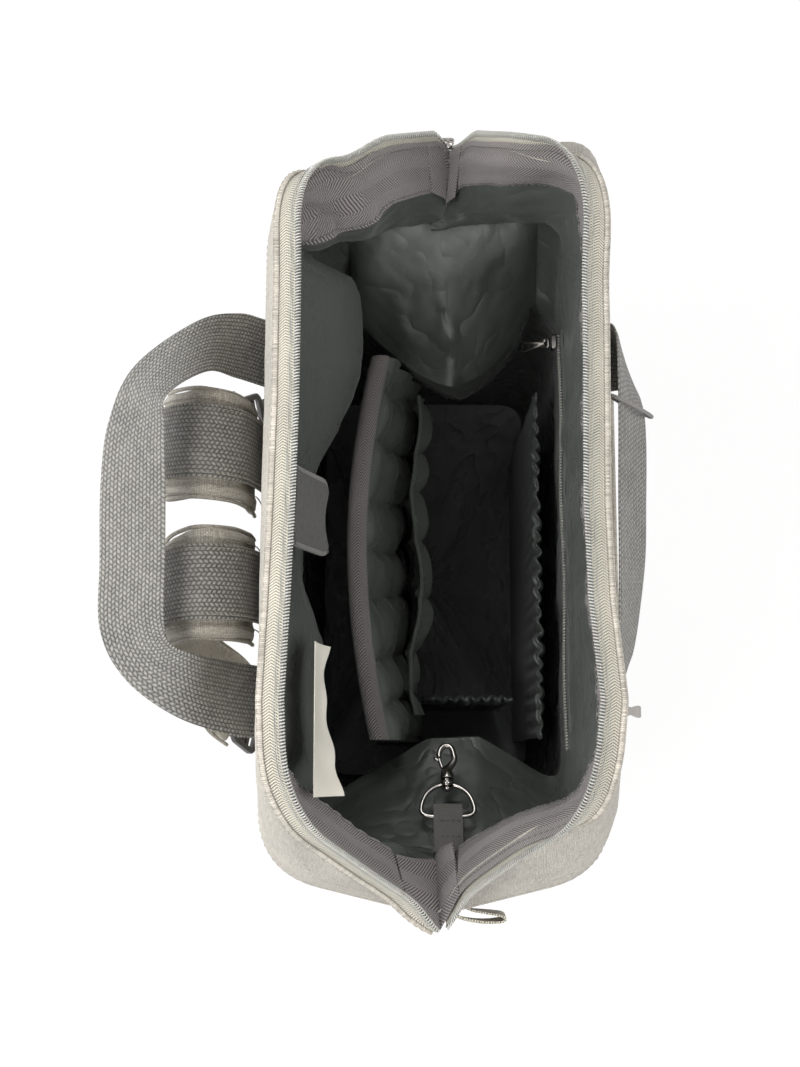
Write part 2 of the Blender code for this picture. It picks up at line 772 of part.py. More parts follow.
def gathered(name, start, end, top):
    """A pocket wall gathered at its top by elastic, between two ends in plan."""
    floor = lining_floor() + LINING_THICKNESS + GAP
    count = 2 * GATHER_COUNT
    start, end = Vector(start), Vector(end)
    across = (end - start).normalized()
    out = Vector((-across.y, across.x, 0))
    grid = []
    for i in range(4):
        t = i / 3
        line = []
        for k in range(count + 1):
            wave = GATHER_WAVE * (-1) ** k * t
            p = start.lerp(end, k / count) + out * wave
            line.append(Vector((p.x, p.y, mix(floor, top, t))))
        grid.append(line)
    slab(name, grid, -GATHERED_THICKNESS / 2, GATHERED_THICKNESS / 2, "lining")


def inner_pockets():
    """The long gathered pocket at the front and the short one at the left end."""
    left = (FRONT_POCKET_LEFT, FRONT_POCKET_Y, 0)
    right = (FRONT_POCKET_RIGHT, FRONT_POCKET_Y, 0)
    gathered("gathered_pocket_front", left, right, FRONT_POCKET_TOP)
    front = (END_POCKET_X, END_POCKET_FRONT, 0)
    back = (END_POCKET_X, END_POCKET_BACK, 0)
    gathered("gathered_pocket_end", front, back, END_POCKET_TOP)


def hung_from_back_rim(name, x, width, keys, thickness, finish):
    path = [Vector((x, y, z)) for y, z in keys]
    return strip(name, path, width, thickness, finish, steps=2, columns=3, pivot=path[0])


def rim_hangings():
    """The hook-and-loop tab and the blank care label under the back rim."""
    run = BINDING_WIDTH * 0.55
    across, depth = binding_point(run, BINDING_THICKNESS + GAP + CLOSURE_THICKNESS / 2)
    top = opened(0, -across, RIM_RISE - depth)
    keys = [(-top.y, top.z)]
    drops = ((0.06, 0.28), (0.16, 0.64), (0.26, 1.0))
    keys += [(-top.y - CLOSURE_DROP * dy, top.z - CLOSURE_DROP * dz) for dy, dz in drops]
    args = (CLOSURE_X, CLOSURE_WIDTH, keys, CLOSURE_THICKNESS, "webbing")
    hung_from_back_rim("closure_tab", *args)
    across, depth = binding_point(BINDING_WIDTH * 0.9, BINDING_THICKNESS + LABEL_ROOM)
    top = opened(0, -across, RIM_RISE - depth)
    keys = [(-top.y, top.z)]
    drops = ((0.05, 0.35), (0.14, 0.7), (0.3, 1.0))
    keys += [(-top.y - LABEL_DROP * dy, top.z - LABEL_DROP * dz) for dy, dz in drops]
    args = (LABEL_X, LABEL_WIDTH, keys, LABEL_THICKNESS, "label")
    hung_from_back_rim("care_label", *args)


def inner_zip():
    """The zip of the pocket in the front lining, with its slider at the right end."""
    wall = -lining_section(INNER_ZIP_Z - INNER_TAPE_HEIGHT / 2)[2].y
    lean = wall + lining_section(INNER_ZIP_Z + INNER_TAPE_HEIGHT / 2)[2].y
    down = Vector((0, -lean, -INNER_TAPE_HEIGHT)).normalized()
    face = Vector((0, -down.z, down.y))
    middle = (INNER_ZIP_LEFT + INNER_ZIP_RIGHT) / 2
    on_wall = lining_section(INNER_ZIP_Z)[2].y + LINING_THICKNESS + GAP
    frame = frame_at(Vector((middle, on_wall, INNER_ZIP_Z)), Vector((1, 0, 0)), face)
    length = INNER_ZIP_RIGHT - INNER_ZIP_LEFT
    lift = TAPE_THICKNESS / 2 + GAP
    size = (length, INNER_TAPE_HEIGHT, TAPE_THICKNESS)
    block("inner_zip_tape", (0, 0, lift), size, "lining", frame)
    lift += TAPE_THICKNESS / 2 + GAP + INNER_COIL_THICKNESS / 2
    size = (length, INNER_COIL_HEIGHT, INNER_COIL_THICKNESS)
    block("inner_zip_coil", (0, 0, lift), size, "coil", frame, 0.0006)
    lift += INNER_COIL_THICKNESS / 2 + GAP + INNER_SLIDER_THICKNESS / 2
    x = length / 2 - INNER_SLIDER_LENGTH / 2
    size = (INNER_SLIDER_LENGTH, INNER_SLIDER_HEIGHT, INNER_SLIDER_THICKNESS)
    block("inner_slider", (x, 0, lift), size, "dark_metal", frame, 0.0008)
    lift += INNER_SLIDER_THICKNESS / 2 + 3 * GAP
    pivot = frame @ Vector((x, 0, lift))
    out = frame_at(pivot, Vector((0, 1, -INNER_PULLER_DROP)), Vector((0, INNER_PULLER_DROP, 1)))
    pull = (INNER_PULLER_LENGTH, INNER_PULLER_WIDTH, INNER_PULLER_THICKNESS)
    puller("inner_puller", *pull, out, pivot, "dark_metal")


def key_frame():
    """A frame on the folded lining at the left end: X runs down the fold, Z stands off it."""
    high = Vector((KEY_TAB_ROOM - LINING_TOP_END, KEY_Y, BODY_TOP))
    low = Vector((KEY_Y / 2 - FOLD_X, KEY_Y, FOLD_HEIGHT))
    slope = (low - high).normalized()
    lifted = Matrix.Rotation(-KEY_TAB_LIFT, 3, "Y") @ slope
    return frame_at(high + slope * KEY_TAB_DOWN, lifted, Vector((0, 0, 1)))


def key_clip():
    """Webbing tab, ring with its collar, hook and gate, along the folded lining."""
    frame = key_frame()
    base = KEY_TAB_STAND
    eye = Vector((KEY_TAB_LENGTH, 0, base + KEY_TAB_THICKNESS + RING_WIRE + GAP))
    reach = RING_WIRE + GAP + KEY_TAB_THICKNESS / 2
    path = [Vector((0, 0, eye.z - reach)), Vector((KEY_TAB_LENGTH * 0.6, 0, eye.z - reach))]
    for k in range(7):
        a = math.radians(-90 + 30 * k)
        path.append(eye + Vector((math.cos(a), 0, math.sin(a))) * reach)
    path.append(Vector((KEY_TAB_LENGTH * 0.5, 0, eye.z + reach * 0.8)))
    path.append(Vector((KEY_TAB_LENGTH * 0.15, 0, eye.z + reach * 0.5)))
    half = KEY_TAB_WIDTH / 2
    grid = [[frame @ (p + Vector((0, y, 0))) for y in (-half, half)] for p in path]
    slab("key_tab", grid, -KEY_TAB_THICKNESS / 2, KEY_TAB_THICKNESS / 2, "webbing")
    ring_path = []
    half = RING_WIDTH / 2
    corner = RING_DEPTH * 0.2
    plan = [(0, -half + corner), (0, 0), (0, half - corner), (corner, half)]
    plan += [(RING_DEPTH * 0.7, half * 0.8), (RING_DEPTH, half * 0.3), (RING_DEPTH, -half * 0.3)]
    plan += [(RING_DEPTH * 0.7, -half * 0.8), (corner, -half)]
    doubled = plan + plan[:3]
    smoothed = curve_through([Vector((x, y, 0)) for x, y in doubled], 2)
    ring_path = [frame @ (eye + p) for p in smoothed[2 : 2 + 2 * len(plan)]]
    pivot = frame @ eye
    ring = tube("key_ring", ring_path, RING_WIRE, 6, "dark_metal", pivot, closed=True)
    collar_start = RING_DEPTH - RING_WIRE
    axis = [eye + Vector((collar_start + d, 0, 0)) for d in (0, COLLAR_LENGTH)]
    collar = tube("collar_guide", [frame @ p for p in axis], COLLAR_RADIUS, 10, "dark_metal", pivot)
    axis = [eye + Vector((collar_start + d, 0, 0)) for d in (-0.003, COLLAR_LENGTH + 0.003)]
    bore = tube("bore_guide", [frame @ p for p in axis], PIN_RADIUS + GAP, 10, "dark_metal", pivot)
    for guide, operation in ((collar, "UNION"), (bore, "DIFFERENCE")):
        cut = ring.modifiers.new(guide.name, "BOOLEAN")
        cut.operation = operation
        cut.object = guide
        guide.hide_render = True
        guide.display_type = "WIRE"
    start = collar_start + COLLAR_LENGTH
    keys = [(-0.0062, 0), (-0.0052, 0), (-0.0050, 0), (0.0002, 0), (0.0004, 0), (0.006, 0)]
    radii = [PIN_RADIUS * 1.9, PIN_RADIUS * 1.9, PIN_RADIUS, PIN_RADIUS]
    radii += [COLLAR_RADIUS, COLLAR_RADIUS * 0.8]
    radii[0] = PIN_RADIUS * 1.4
    turn = HOOK_WIDTH / 2
    keys += [(0.009, -turn * 0.5), (0.013, -turn), (HOOK_LENGTH * 0.7, -turn)]
    keys += [(HOOK_LENGTH * 0.93, -turn * 0.65), (HOOK_LENGTH, 0), (HOOK_LENGTH * 0.93, turn * 0.65)]
    keys += [(HOOK_LENGTH * 0.78, turn), (HOOK_LENGTH * 0.66, turn)]
    radii += [HOOK_WIRE * 1.2] + [HOOK_WIRE] * 6 + [HOOK_WIRE * 0.8]
    hook_path = [frame @ (eye + Vector((start + GAP + x, y, 0))) for x, y in keys]
    hook_pivot = frame @ (eye + Vector((start, 0, 0)))
    tube("snap_hook", hook_path, radii, 8, "dark_metal", hook_pivot)
    gate_keys = [(0.0082, turn * 0.62), (0.0115, turn * 0.88), (HOOK_LENGTH * 0.62, turn)]
    gate_path = [frame @ (eye + Vector((start + x, y, 0))) for x, y in gate_keys]
    tube("snap_gate", gate_path, GATE_WIRE, 6, "dark_metal", gate_path[0])


# Both edges of each handle: along, off the wall, and above the body's top
HANDLE_SEAT = HANDLE_WEBBING / 2 + GAP
BACK_HANDLE = (
    ((0.120, HANDLE_SEAT, -0.010), (0.080, HANDLE_SEAT, -0.010)),
    ((0.118, 0.0150, 0.008), (0.079, 0.0150, 0.013)),
    ((0.107, 0.0350, 0.028), (0.074, 0.0270, 0.044)),
    ((0.077, 0.0650, 0.045), (0.054, 0.0440, 0.069)),
    ((0.047, 0.0780, 0.045), (0.037, 0.0450, 0.066)),
    ((0.014, 0.0820, 0.042), (0.010, 0.0450, 0.059)),
    ((-0.027, 0.0820, 0.038), (-0.029, 0.0450, 0.054)),
    ((-0.064, 0.0810, 0.036), (-0.060, 0.0450, 0.052)),
    ((-0.090, 0.0670, 0.034), (-0.073, 0.0410, 0.051)),
    ((-0.109, 0.0410, 0.028), (-0.078, 0.0270, 0.044)),
    ((-0.118, 0.0150, 0.008), (-0.079, 0.0150, 0.013)),
    ((-0.120, HANDLE_SEAT, -0.010), (-0.080, HANDLE_SEAT, -0.010)),
)

FRONT_HANDLE = (
    ((0.118, HANDLE_SEAT, -0.024), (0.078, HANDLE_SEAT, -0.024)),
    ((0.116, 0.0040, -0.002), (0.077, 0.0060, -0.010)),
    ((0.102, 0.0050, 0.028), (0.074, 0.0170, 0.003)),
    ((0.076, 0.0030, 0.046), (0.062, 0.0210, 0.014)),
    ((0.044, 0.0020, 0.050), (0.041, 0.0220, 0.016)),
    ((0.006, 0.0010, 0.050), (0.006, 0.0210, 0.016)),
    ((-0.024, 0.0005, 0.050), (-0.022, 0.0200, 0.015)),
    ((-0.056, 0.0000, 0.048), (-0.048, 0.0170, 0.013)),
    ((-0.086, 0.0000, 0.042), (-0.070, 0.0140, 0.007)),
    ((-0.108, 0.0020, 0.022), (-0.078, 0.0110, -0.002)),
    ((-0.119, 0.0035, -0.003), (-0.080, 0.0045, -0.010)),
    ((-0.120, HANDLE_SEAT, -0.024), (-0.080, HANDLE_SEAT, -0.024)),
)

CORD_X = 0.058
CORD_CENTRE_Y = -(BODY_HALF_DEPTH + 0.012)
CORD_CENTRE_Z = BODY_TOP + 0.031
CORD_HALF_WIDTH = 0.0240
CORD_HALF_HEIGHT = 0.0075


def handles():
    """Both webbing handles, and the thin elastic looped round the front one."""
    for name, edges, side in (("back_handle", BACK_HANDLE, 1), ("front_handle", FRONT_HANDLE, -1)):
        keys = []
        for pair in edges:
            keys.append([(x, side * (BODY_HALF_DEPTH + off), BODY_TOP + rise) for x, off, rise in pair])
        pivot = (0, keys[0][0][1], keys[0][0][2])
        twisted_band(name, keys, HANDLE_WEBBING, "webbing", pivot)
    path = []
    lean = Vector((0, -0.020, -0.034)).normalized()
    off = Vector((0, -lean.z, lean.y))
    centre = Vector((CORD_X, CORD_CENTRE_Y, CORD_CENTRE_Z))
    for k in range(20):
        a = 2 * math.pi * k / 20
        p = centre + lean * CORD_HALF_WIDTH * math.cos(a) + off * CORD_HALF_HEIGHT * math.sin(a)
        path.append(p + Vector((0.004 * math.sin(a), 0, 0)))
    tube("elastic_cord", path, CORD_RADIUS, 6, "elastic", path[10], closed=True)


STRAP_WEBBING_LIFT = STRAP_THICKNESS / 2 + STRAP_WEBBING_THICKNESS / 2 + 2 * GAP
STRAP_SEAT_Y = BODY_HALF_DEPTH + STRAP_WEBBING_LIFT + STRAP_WEBBING_THICKNESS / 2 + GAP
# The strap's run: share of its anchor's distance along, off its seat, and share of the body's height
STRAP_KEYS = (
    (0.2960, 0.0000, 0.9200),
    (0.2968, 0.0000, 0.9600),
    (0.2976, 0.0012, 1.0033),
    (0.3008, 0.0085, 1.0733),
    (0.3080, 0.0268, 1.1000),
    (0.3360, 0.0448, 1.0200),
    (0.4000, 0.0498, 0.8733),
    (0.5120, 0.0478, 0.6667),
    (0.6320, 0.0418, 0.4767),
    (0.7520, 0.0263, 0.3733),
)
STRAP_ANCHOR_X = BODY_HALF_LENGTH - 0.040
STRAP_SEWN_END = ((0.16, 0.0016), (0.1233, GAP), (0.08, GAP))


def straps():
    """Each padded strap with the webbing on it, its ladder lock and lower webbing."""
    for side, word in ((1, "right"), (-1, "left")):
        keys = []
        for share, off, height in STRAP_KEYS:
            keys.append(Vector((STRAP_ANCHOR_X * share * side, STRAP_SEAT_Y + off, BODY_TOP * height)))
        seat = []
        for height, room in STRAP_SEWN_END:
            z = BODY_TOP * height
            y = wall_depth(z) + STRAP_WEBBING_THICKNESS / 2 + room
            seat.append(Vector((STRAP_ANCHOR_X * side, y, z)))
        pivot = keys[0]
        strip(f"strap_pad_{word}", keys, STRAP_WIDTH, STRAP_THICKNESS, "outer", 3, 0, 5, pivot)
        lift = STRAP_WEBBING_LIFT
        band = (STRAP_WEBBING_WIDTH, STRAP_WEBBING_THICKNESS, "webbing", 3, lift, 3, pivot)
        strip(f"strap_webbing_{word}", keys, *band)
        along = (seat[0] - keys[-1]).normalized()
        centre = keys[-1] + along * (BUCKLE_LENGTH / 2 + BUCKLE_ROOM)
        across = Vector((1, 0, 0)) - along * along.x
        frame = frame_at(centre, along, across.cross(along))
        ladder_lock(f"strap_buckle_{word}", frame, pivot)
        end = centre + along * (BUCKLE_LENGTH / 2 + 2 * GAP)
        tail = [end, end.lerp(seat[0], 0.5)] + seat
        band = (LOWER_WEBBING_WIDTH, STRAP_WEBBING_THICKNESS, "webbing", 3, 0, 2, pivot)
        strip(f"lower_webbing_{word}", tail, *band)


def ladder_lock(name, frame, pivot):
    """A flat buckle with two slots for webbing."""
    half = BUCKLE_WIDTH / 2
    ys = (-half, -half + BUCKLE_BAR, half - BUCKLE_BAR, half)
    xs = [-BUCKLE_LENGTH / 2]
    middle = BUCKLE_LENGTH - 2 * BUCKLE_BAR - 2 * BUCKLE_SLOT
    for run in (BUCKLE_BAR, BUCKLE_SLOT, middle, BUCKLE_SLOT, BUCKLE_BAR):
        xs.append(xs[-1] + run)
    lattice(name, xs, ys, [(1, 1), (3, 1)], BUCKLE_THICKNESS, "plastic", frame, pivot)


def puffed(rows_at, first, last, low, high, bulge, steps):
    """A wall stood off the shell, most in its middle, meeting it at both sides and below."""
    grid = []
    for i in range(steps + 1):
        t = i / steps
        z = mix(low, high, t)
        line = columns_of([rows_at(z)], first, last)[0]
        normals = sheet_normals([line, columns_of([rows_at(z + 0.01)], first, last)[0]])[0]
        row = []
        for c, (p, n) in enumerate(zip(line, normals)):
            s = c / (len(line) - 1)
            off = bulge(s, t)
            row.append(p + Vector((n.x, n.y, 0)).normalized() * off)
        grid.append(row)
    return grid


def front_pocket():
    """The zipped pocket on the front panel, its zip, slider and puller."""
    def bulge(s, t):
        side = smooth(min(s, 1 - s) / 0.16)
        rise = smooth(min(t / 0.12, (1 - t) / 0.22))
        return POCKET_SEAM + POCKET_THICKNESS + POCKET_BULGE * side * rise * (1 - 0.25 * t)

    first, last = PANELS["front"]
    grid = puffed(body_loop, first + 1, last - 1, POCKET_BOTTOM, POCKET_TOP, bulge, POCKET_STEPS)
    slab("front_pocket", grid, 0, POCKET_THICKNESS, "outer")
    low, high = (grid[POCKET_ZIP_ROW + i][len(grid[0]) // 2] for i in (0, 1))
    out = Vector((0, low.z - high.z, high.y - low.y)).normalized()
    middle = (POCKET_ZIP_LEFT + POCKET_ZIP_RIGHT) / 2
    origin = (low + high) / 2 + out * GAP
    origin.x = middle
    frame = frame_at(origin, Vector((1, 0, 0)), out)
    length = POCKET_ZIP_RIGHT - POCKET_ZIP_LEFT
    lift = TAPE_THICKNESS / 2
    size = (length, POCKET_TAPE_HEIGHT, TAPE_THICKNESS)
    block("pocket_zip_tape", (0, 0, lift), size, "zip_tape", frame)
    lift += TAPE_THICKNESS / 2 + GAP + INNER_COIL_THICKNESS / 2
    size = (length, INNER_COIL_HEIGHT, INNER_COIL_THICKNESS)
    block("pocket_zip_coil", (0, 0, lift), size, "coil", frame, 0.0006)
    lift += INNER_COIL_THICKNESS / 2 + GAP + INNER_SLIDER_THICKNESS / 2
    x = INNER_SLIDER_LENGTH / 2 - length / 2
    size = (INNER_SLIDER_LENGTH, INNER_SLIDER_HEIGHT, INNER_SLIDER_THICKNESS)
    block("pocket_slider", (x, 0, lift), size, "dark_metal", frame, 0.0008)
    lift += INNER_SLIDER_THICKNESS / 2 + GAP + PULLER_THICKNESS / 2
    pivot = frame @ Vector((x, 0, lift))
    hang = frame_at(pivot, -frame.col[1].xyz, out)
    pull = (PULLER_LENGTH, PULLER_WIDTH, PULLER_THICKNESS)
    puller("pocket_puller", *pull, hang, pivot, "dark_metal")


def side_pockets():
    """An open pocket low on each side."""
    def bulge(s, t):
        side = math.sin(math.pi * s) ** 0.6 if 0 < s < 1 else 0
        return POCKET_SEAM + SIDE_POCKET_THICKNESS + SIDE_POCKET_BULGE * side * smooth(t * 1.4)

    for word in ("left", "right"):
        first, last = PANELS[word]
        span = (first + 1, last - 1, SIDE_POCKET_BOTTOM, SIDE_POCKET_TOP)
        grid = puffed(body_loop, *span, bulge, 6)
        slab(f"side_pocket_{word}", grid, 0, SIDE_POCKET_THICKNESS, "outer")


def side_loop():
    """A fabric loop folded on edge, sewn beside the left zip end."""
    end, corner, _ = body_section(LOOP_Z + LOOP_WIDTH / 2)

    def off_wall(y):
        return mix(end.x, corner.x, abs(y / corner.y)) + 4 * GAP

    near = off_wall(LOOP_Y)
    ends = (near, LOOP_Y), (off_wall(LOOP_Y + 0.008), LOOP_Y + 0.008)
    turns = ((0.15, 0.25), (0.25, 0.7), (0.35, 0.93), (0.6, 1.0), (0.85, 0.93), (1.0, 0.7), (1.0, 0.3))
    plan = [ends[0]]
    plan += [(near + LOOP_STAND * out, LOOP_Y - LOOP_REACH * run) for out, run in turns]
    plan.append(ends[1])
    half = LOOP_WIDTH / 2
    grid = [[Vector((-x, y, LOOP_Z + z)) for z in (-half, half)] for x, y in plan]
    slab("side_loop", grid, -0.0005, 0.0005, "outer")


def main():
    for old in list(bpy.data.objects):
        bpy.data.objects.remove(old)
    shell()
    padding()
    mouth()
    main_slider()
    lining_bag()
    lining_tops()
    sleeve()
    inner_pockets()
    rim_hangings()
    inner_zip()
    key_clip()
    handles()
    straps()
    front_pocket()
    side_pockets()
    side_loop()


main()
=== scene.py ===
"""Looks of a framed-mouth diaper backpack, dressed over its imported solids.

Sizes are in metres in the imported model's frame: X along the mouth, -Y the front.
"""

import math

import bmesh
import bpy
import numpy as np
from mathutils import Matrix, Vector, noise


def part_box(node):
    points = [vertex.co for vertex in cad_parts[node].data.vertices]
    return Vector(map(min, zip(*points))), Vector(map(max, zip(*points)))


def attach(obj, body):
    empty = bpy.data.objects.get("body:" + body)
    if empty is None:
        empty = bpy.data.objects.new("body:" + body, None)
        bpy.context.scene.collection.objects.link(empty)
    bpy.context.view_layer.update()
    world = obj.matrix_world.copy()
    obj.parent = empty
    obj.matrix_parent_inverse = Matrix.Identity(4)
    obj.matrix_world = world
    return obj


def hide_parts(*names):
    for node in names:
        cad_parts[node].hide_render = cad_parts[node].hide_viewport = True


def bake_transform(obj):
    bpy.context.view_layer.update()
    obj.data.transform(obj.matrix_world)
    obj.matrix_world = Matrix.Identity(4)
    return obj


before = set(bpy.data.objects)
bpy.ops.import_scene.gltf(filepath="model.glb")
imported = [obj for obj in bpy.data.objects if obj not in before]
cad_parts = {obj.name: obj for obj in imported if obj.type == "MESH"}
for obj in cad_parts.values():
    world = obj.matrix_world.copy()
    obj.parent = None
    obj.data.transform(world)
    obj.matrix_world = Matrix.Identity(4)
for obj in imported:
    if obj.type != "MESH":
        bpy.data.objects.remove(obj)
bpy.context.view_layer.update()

# Sizes shared with the solids
TOP = 0.300
HALF_X, HALF_Y, CORNER = 0.165, 0.095, 0.034
TUCK, TUCK_Z = 0.010, 0.070
CROWN, FLARE, CORNER_FLARE = 0.005, 0.044, 0.026
TIP_X, TIP_Z = 0.2115, 0.325
RIM_X, RIM_RISE, RIM_R = 0.155, 0.1212, 0.034
MOUTH = math.radians(33.5)
LIP = 0.011
COIL_W, COIL_T = 0.0041, 0.0026
BIND_W, BIND_LEAN, BIND_IN = 0.028, math.radians(30), 0.0025
GAP = 0.0003
FLOOR = 0.0072
CLOTH = 0.0012


# Small maths
def arr(*rows):
    return np.array(rows, float)


def unit(v):
    return v / np.maximum(np.linalg.norm(v, axis=-1, keepdims=True), 1e-12)


def smooth(t):
    t = np.clip(t, 0, 1)
    return t * t * (3 - 2 * t)


def bump(x, centre, width):
    return np.exp(-(((x - centre) / width) ** 2))


def mirror(P, x=1, y=1):
    return np.asarray(P) * np.array([x, y, 1.0])


def lengths(P):
    steps = np.linalg.norm(np.diff(P, axis=0), axis=1)
    return np.concatenate([[0], np.cumsum(steps)])


def loop_lengths(P):
    """The same for a closed line, whose last point joins its first."""
    return lengths(np.vstack([P, P[:1]]))[:-1]


def sampled(at, s, A):
    """Each column of A at some distances along its line."""
    return np.stack([np.interp(at, s, column) for column in A.T], 1)


def resample(P, count=None, step=0.003):
    """Points at equal distances along a line."""
    s = lengths(P)
    count = count or max(2, int(round(s[-1] / step)) + 1)
    return sampled(np.linspace(0, s[-1], count), s, P)


def along(P, N):
    """Points at equal distances along a line, and its normals there."""
    s = lengths(P)
    points = resample(P)
    return points, sampled(np.linspace(0, s[-1], len(points)), s, N)


def curve(keys, steps):
    """A smooth line through keys of any number of values each."""
    K = np.asarray(keys, float)
    K = np.vstack([2 * K[0] - K[1], K, 2 * K[-1] - K[-2]])
    t = np.linspace(0, 1, steps, endpoint=False)[:, None]
    parts = []
    for a, b, c, d in zip(K, K[1:], K[2:], K[3:]):
        square = (2 * a - 5 * b + 4 * c - d) * t**2
        cube = (3 * b - a - 3 * c + d) * t**3
        parts.append(0.5 * (2 * b + (c - a) * t + square + cube))
    return np.vstack(parts + [K[-2][None]])


def noisy(P, scale, seed=0.0):
    """Smooth noise, about -1 to 1, at each point."""
    flat = np.asarray(P, float).reshape(-1, 3)
    out = np.empty(len(flat))
    for i, p in enumerate(flat):
        q = Vector((p[0] * scale + seed, p[1] * scale - seed * 0.7, p[2] * scale + seed * 1.3))
        out[i] = noise.noise(q) + 0.5 * noise.noise(q * 2.1)
    return out.reshape(np.asarray(P).shape[:-1])


def noisy_line(X, scale, seed):
    """Smooth noise of one value alone."""
    return noisy(np.stack([X, X * 0, X * 0], -1), scale, seed)


def normals(P, wrap=False):
    """Unit normals of a grid of points."""
    if wrap:
        du = np.roll(P, -1, 1) - np.roll(P, 1, 1)
    else:
        du = np.gradient(P, axis=1)
    return unit(np.cross(du, np.gradient(P, axis=0)))


def facing(N, part, axis, way=1):
    """Normals, turned over if a part of them points the wrong way on an axis."""
    return N if np.mean(N[part][..., axis]) * way > 0 else -N


def grid_uv(P):
    """Metres along the columns and the rows."""
    u = np.mean([lengths(row) for row in P], axis=0)
    v = np.mean([lengths(P[:, c]) for c in range(P.shape[1])], axis=0)
    return np.stack(np.meshgrid(u, v), -1)


# Meshes. SLOTS gives a slot for some finishes, but nothing in the script reads it.
SLOTS = {"tab": "webbing", "felt": "webbing", "thread": "outer"}
SLOTS |= {"pad_lining": "lining", "pocket_lining": "lining"}


def points_of(obj):
    return np.array([v.co for v in obj.data.vertices])


def set_uv(mesh, uv):
    """Gives each point its UV."""
    layer = mesh.uv_layers.new(name="UVMap")
    index = np.empty(len(mesh.loops), np.int32)
    mesh.loops.foreach_get("vertex_index", index)
    layer.data.foreach_set("uv", np.asarray(uv, np.float32)[index].ravel())


def make(name, V, faces, finish, uv, sharp=40):
    """A mesh object from points, faces and one UV for each point."""
    mesh = bpy.data.meshes.new(name)
    mesh.from_pydata([tuple(v) for v in V], [], faces)
    set_uv(mesh, uv)
    mesh.shade_smooth()
    mesh.set_sharp_from_angle(angle=math.radians(sharp))
    mesh.materials.append(FINISH[finish])
    obj = bpy.data.objects.new(name, mesh)
    bpy.context.scene.collection.objects.link(obj)
    return obj


def place(obj, body, replaces=()):
    if replaces:
        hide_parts(*([replaces] if isinstance(replaces, str) else replaces))
    if body:
        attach(obj, body)
    return obj


def grid_faces(rows, cols, wrap=False, start=0, flip=False):
    faces = []
    for r in range(rows - 1):
        a, b = start + r * cols, start + (r + 1) * cols
        for c in range(cols if wrap else cols - 1):
            d = (c + 1) % cols
            q = (a + c, a + d, b + d, b + c)
            faces.append(q[::-1] if flip else q)
    return faces


def two_layers(name, A, B, finish, uv, wrap=False):
    """Two grids of points, one behind the other, closed at their edges."""
    rows, cols = A.shape[:2]
    layer = rows * cols
    faces = grid_faces(rows, cols, wrap) + grid_faces(rows, cols, wrap, layer, True)
    if wrap:
        for row in (0, rows - 1):
            for c in range(cols):
                a, b = row * cols + c, row * cols + (c + 1) % cols
                q = (b, a, layer + a, layer + b)
                faces.append(q if row == 0 else q[::-1])
    else:
        edge = list(range(cols)) + [r * cols + cols - 1 for r in range(1, rows)]
        edge += [(rows - 1) * cols + c for c in range(cols - 2, -1, -1)]
        edge += [r * cols for r in range(rows - 2, 0, -1)]
        faces += [(b, a, layer + a, layer + b) for a, b in zip(edge, edge[1:] + edge[:1])]
    V = np.concatenate([A.reshape(-1, 3), B.reshape(-1, 3)])
    return make(name, V, faces, finish, np.concatenate([uv.reshape(-1, 2)] * 2))


def sheet(name, P, thick, finish, body=None, replaces=(), uv=None, wrap=False, N=None):
    """A sheet of cloth about a grid of points, with two faces and closed edges."""
    N = normals(P, wrap) if N is None else N
    uv = grid_uv(P) if uv is None else uv
    obj = two_layers(name, P + N * thick / 2, P - N * thick / 2, finish, uv, wrap)
    return place(obj, body, replaces)


def skin(name, P, N, finish, body, replaces, uv=None, wrap=False, thick=CLOTH):
    """A sheet of cloth whose outer face is a grid of points."""
    return sheet(name, P - N * (thick / 2), thick, finish, body, replaces, uv, wrap, N)


def loft(name, rings, finish, body=None, replaces=(), closed=False, uv=None):
    """Rings of equal count joined in turn."""
    R = np.asarray(rings, float)
    n, k = R.shape[:2]
    faces = grid_faces(n, k, True)
    last = (n - 1) * k
    if closed:
        faces += [(last + i, last + (i + 1) % k, (i + 1) % k, i) for i in range(k)]
    else:
        faces += [tuple(range(k))[::-1], tuple(range(last, n * k))]
    if uv is None:
        uv = np.stack(np.meshgrid(loop_lengths(R[0]), lengths(R.mean(1))), -1)[..., ::-1]
    obj = make(name, R.reshape(-1, 3), faces, finish, np.asarray(uv).reshape(-1, 2))
    return place(obj, body, replaces)


def frames(P, closed=False, up=None):
    """Unit side and up at each point of a line, without sudden turns."""
    if closed:
        T = unit(np.roll(P, -1, 0) - np.roll(P, 1, 0))
    else:
        T = unit(np.gradient(P, axis=0))
    if up is None:
        up = np.cross(T[0], [1, 0, 0] if abs(T[0][0]) < 0.8 else [0, 1, 0])
    ups = []
    for t in T:
        up = unit(up - t * np.dot(up, t))
        ups.append(up)
    return np.cross(T, ups), np.array(ups)


def tube(name, P, radius, finish, body=None, replaces=(), sides=8, closed=False, flat=1.0):
    """A round bar along a line, or a flatter one."""
    P = np.asarray(P, float)
    S, U = frames(P, closed)
    a = np.linspace(0, 2 * math.pi, sides, endpoint=False)[None, :, None]
    radius = np.broadcast_to(radius, len(P))[:, None, None]
    ring = S[:, None] * np.cos(a) + U[:, None] * np.sin(a) * flat
    return loft(name, P[:, None] + ring * radius, finish, body, replaces, closed)


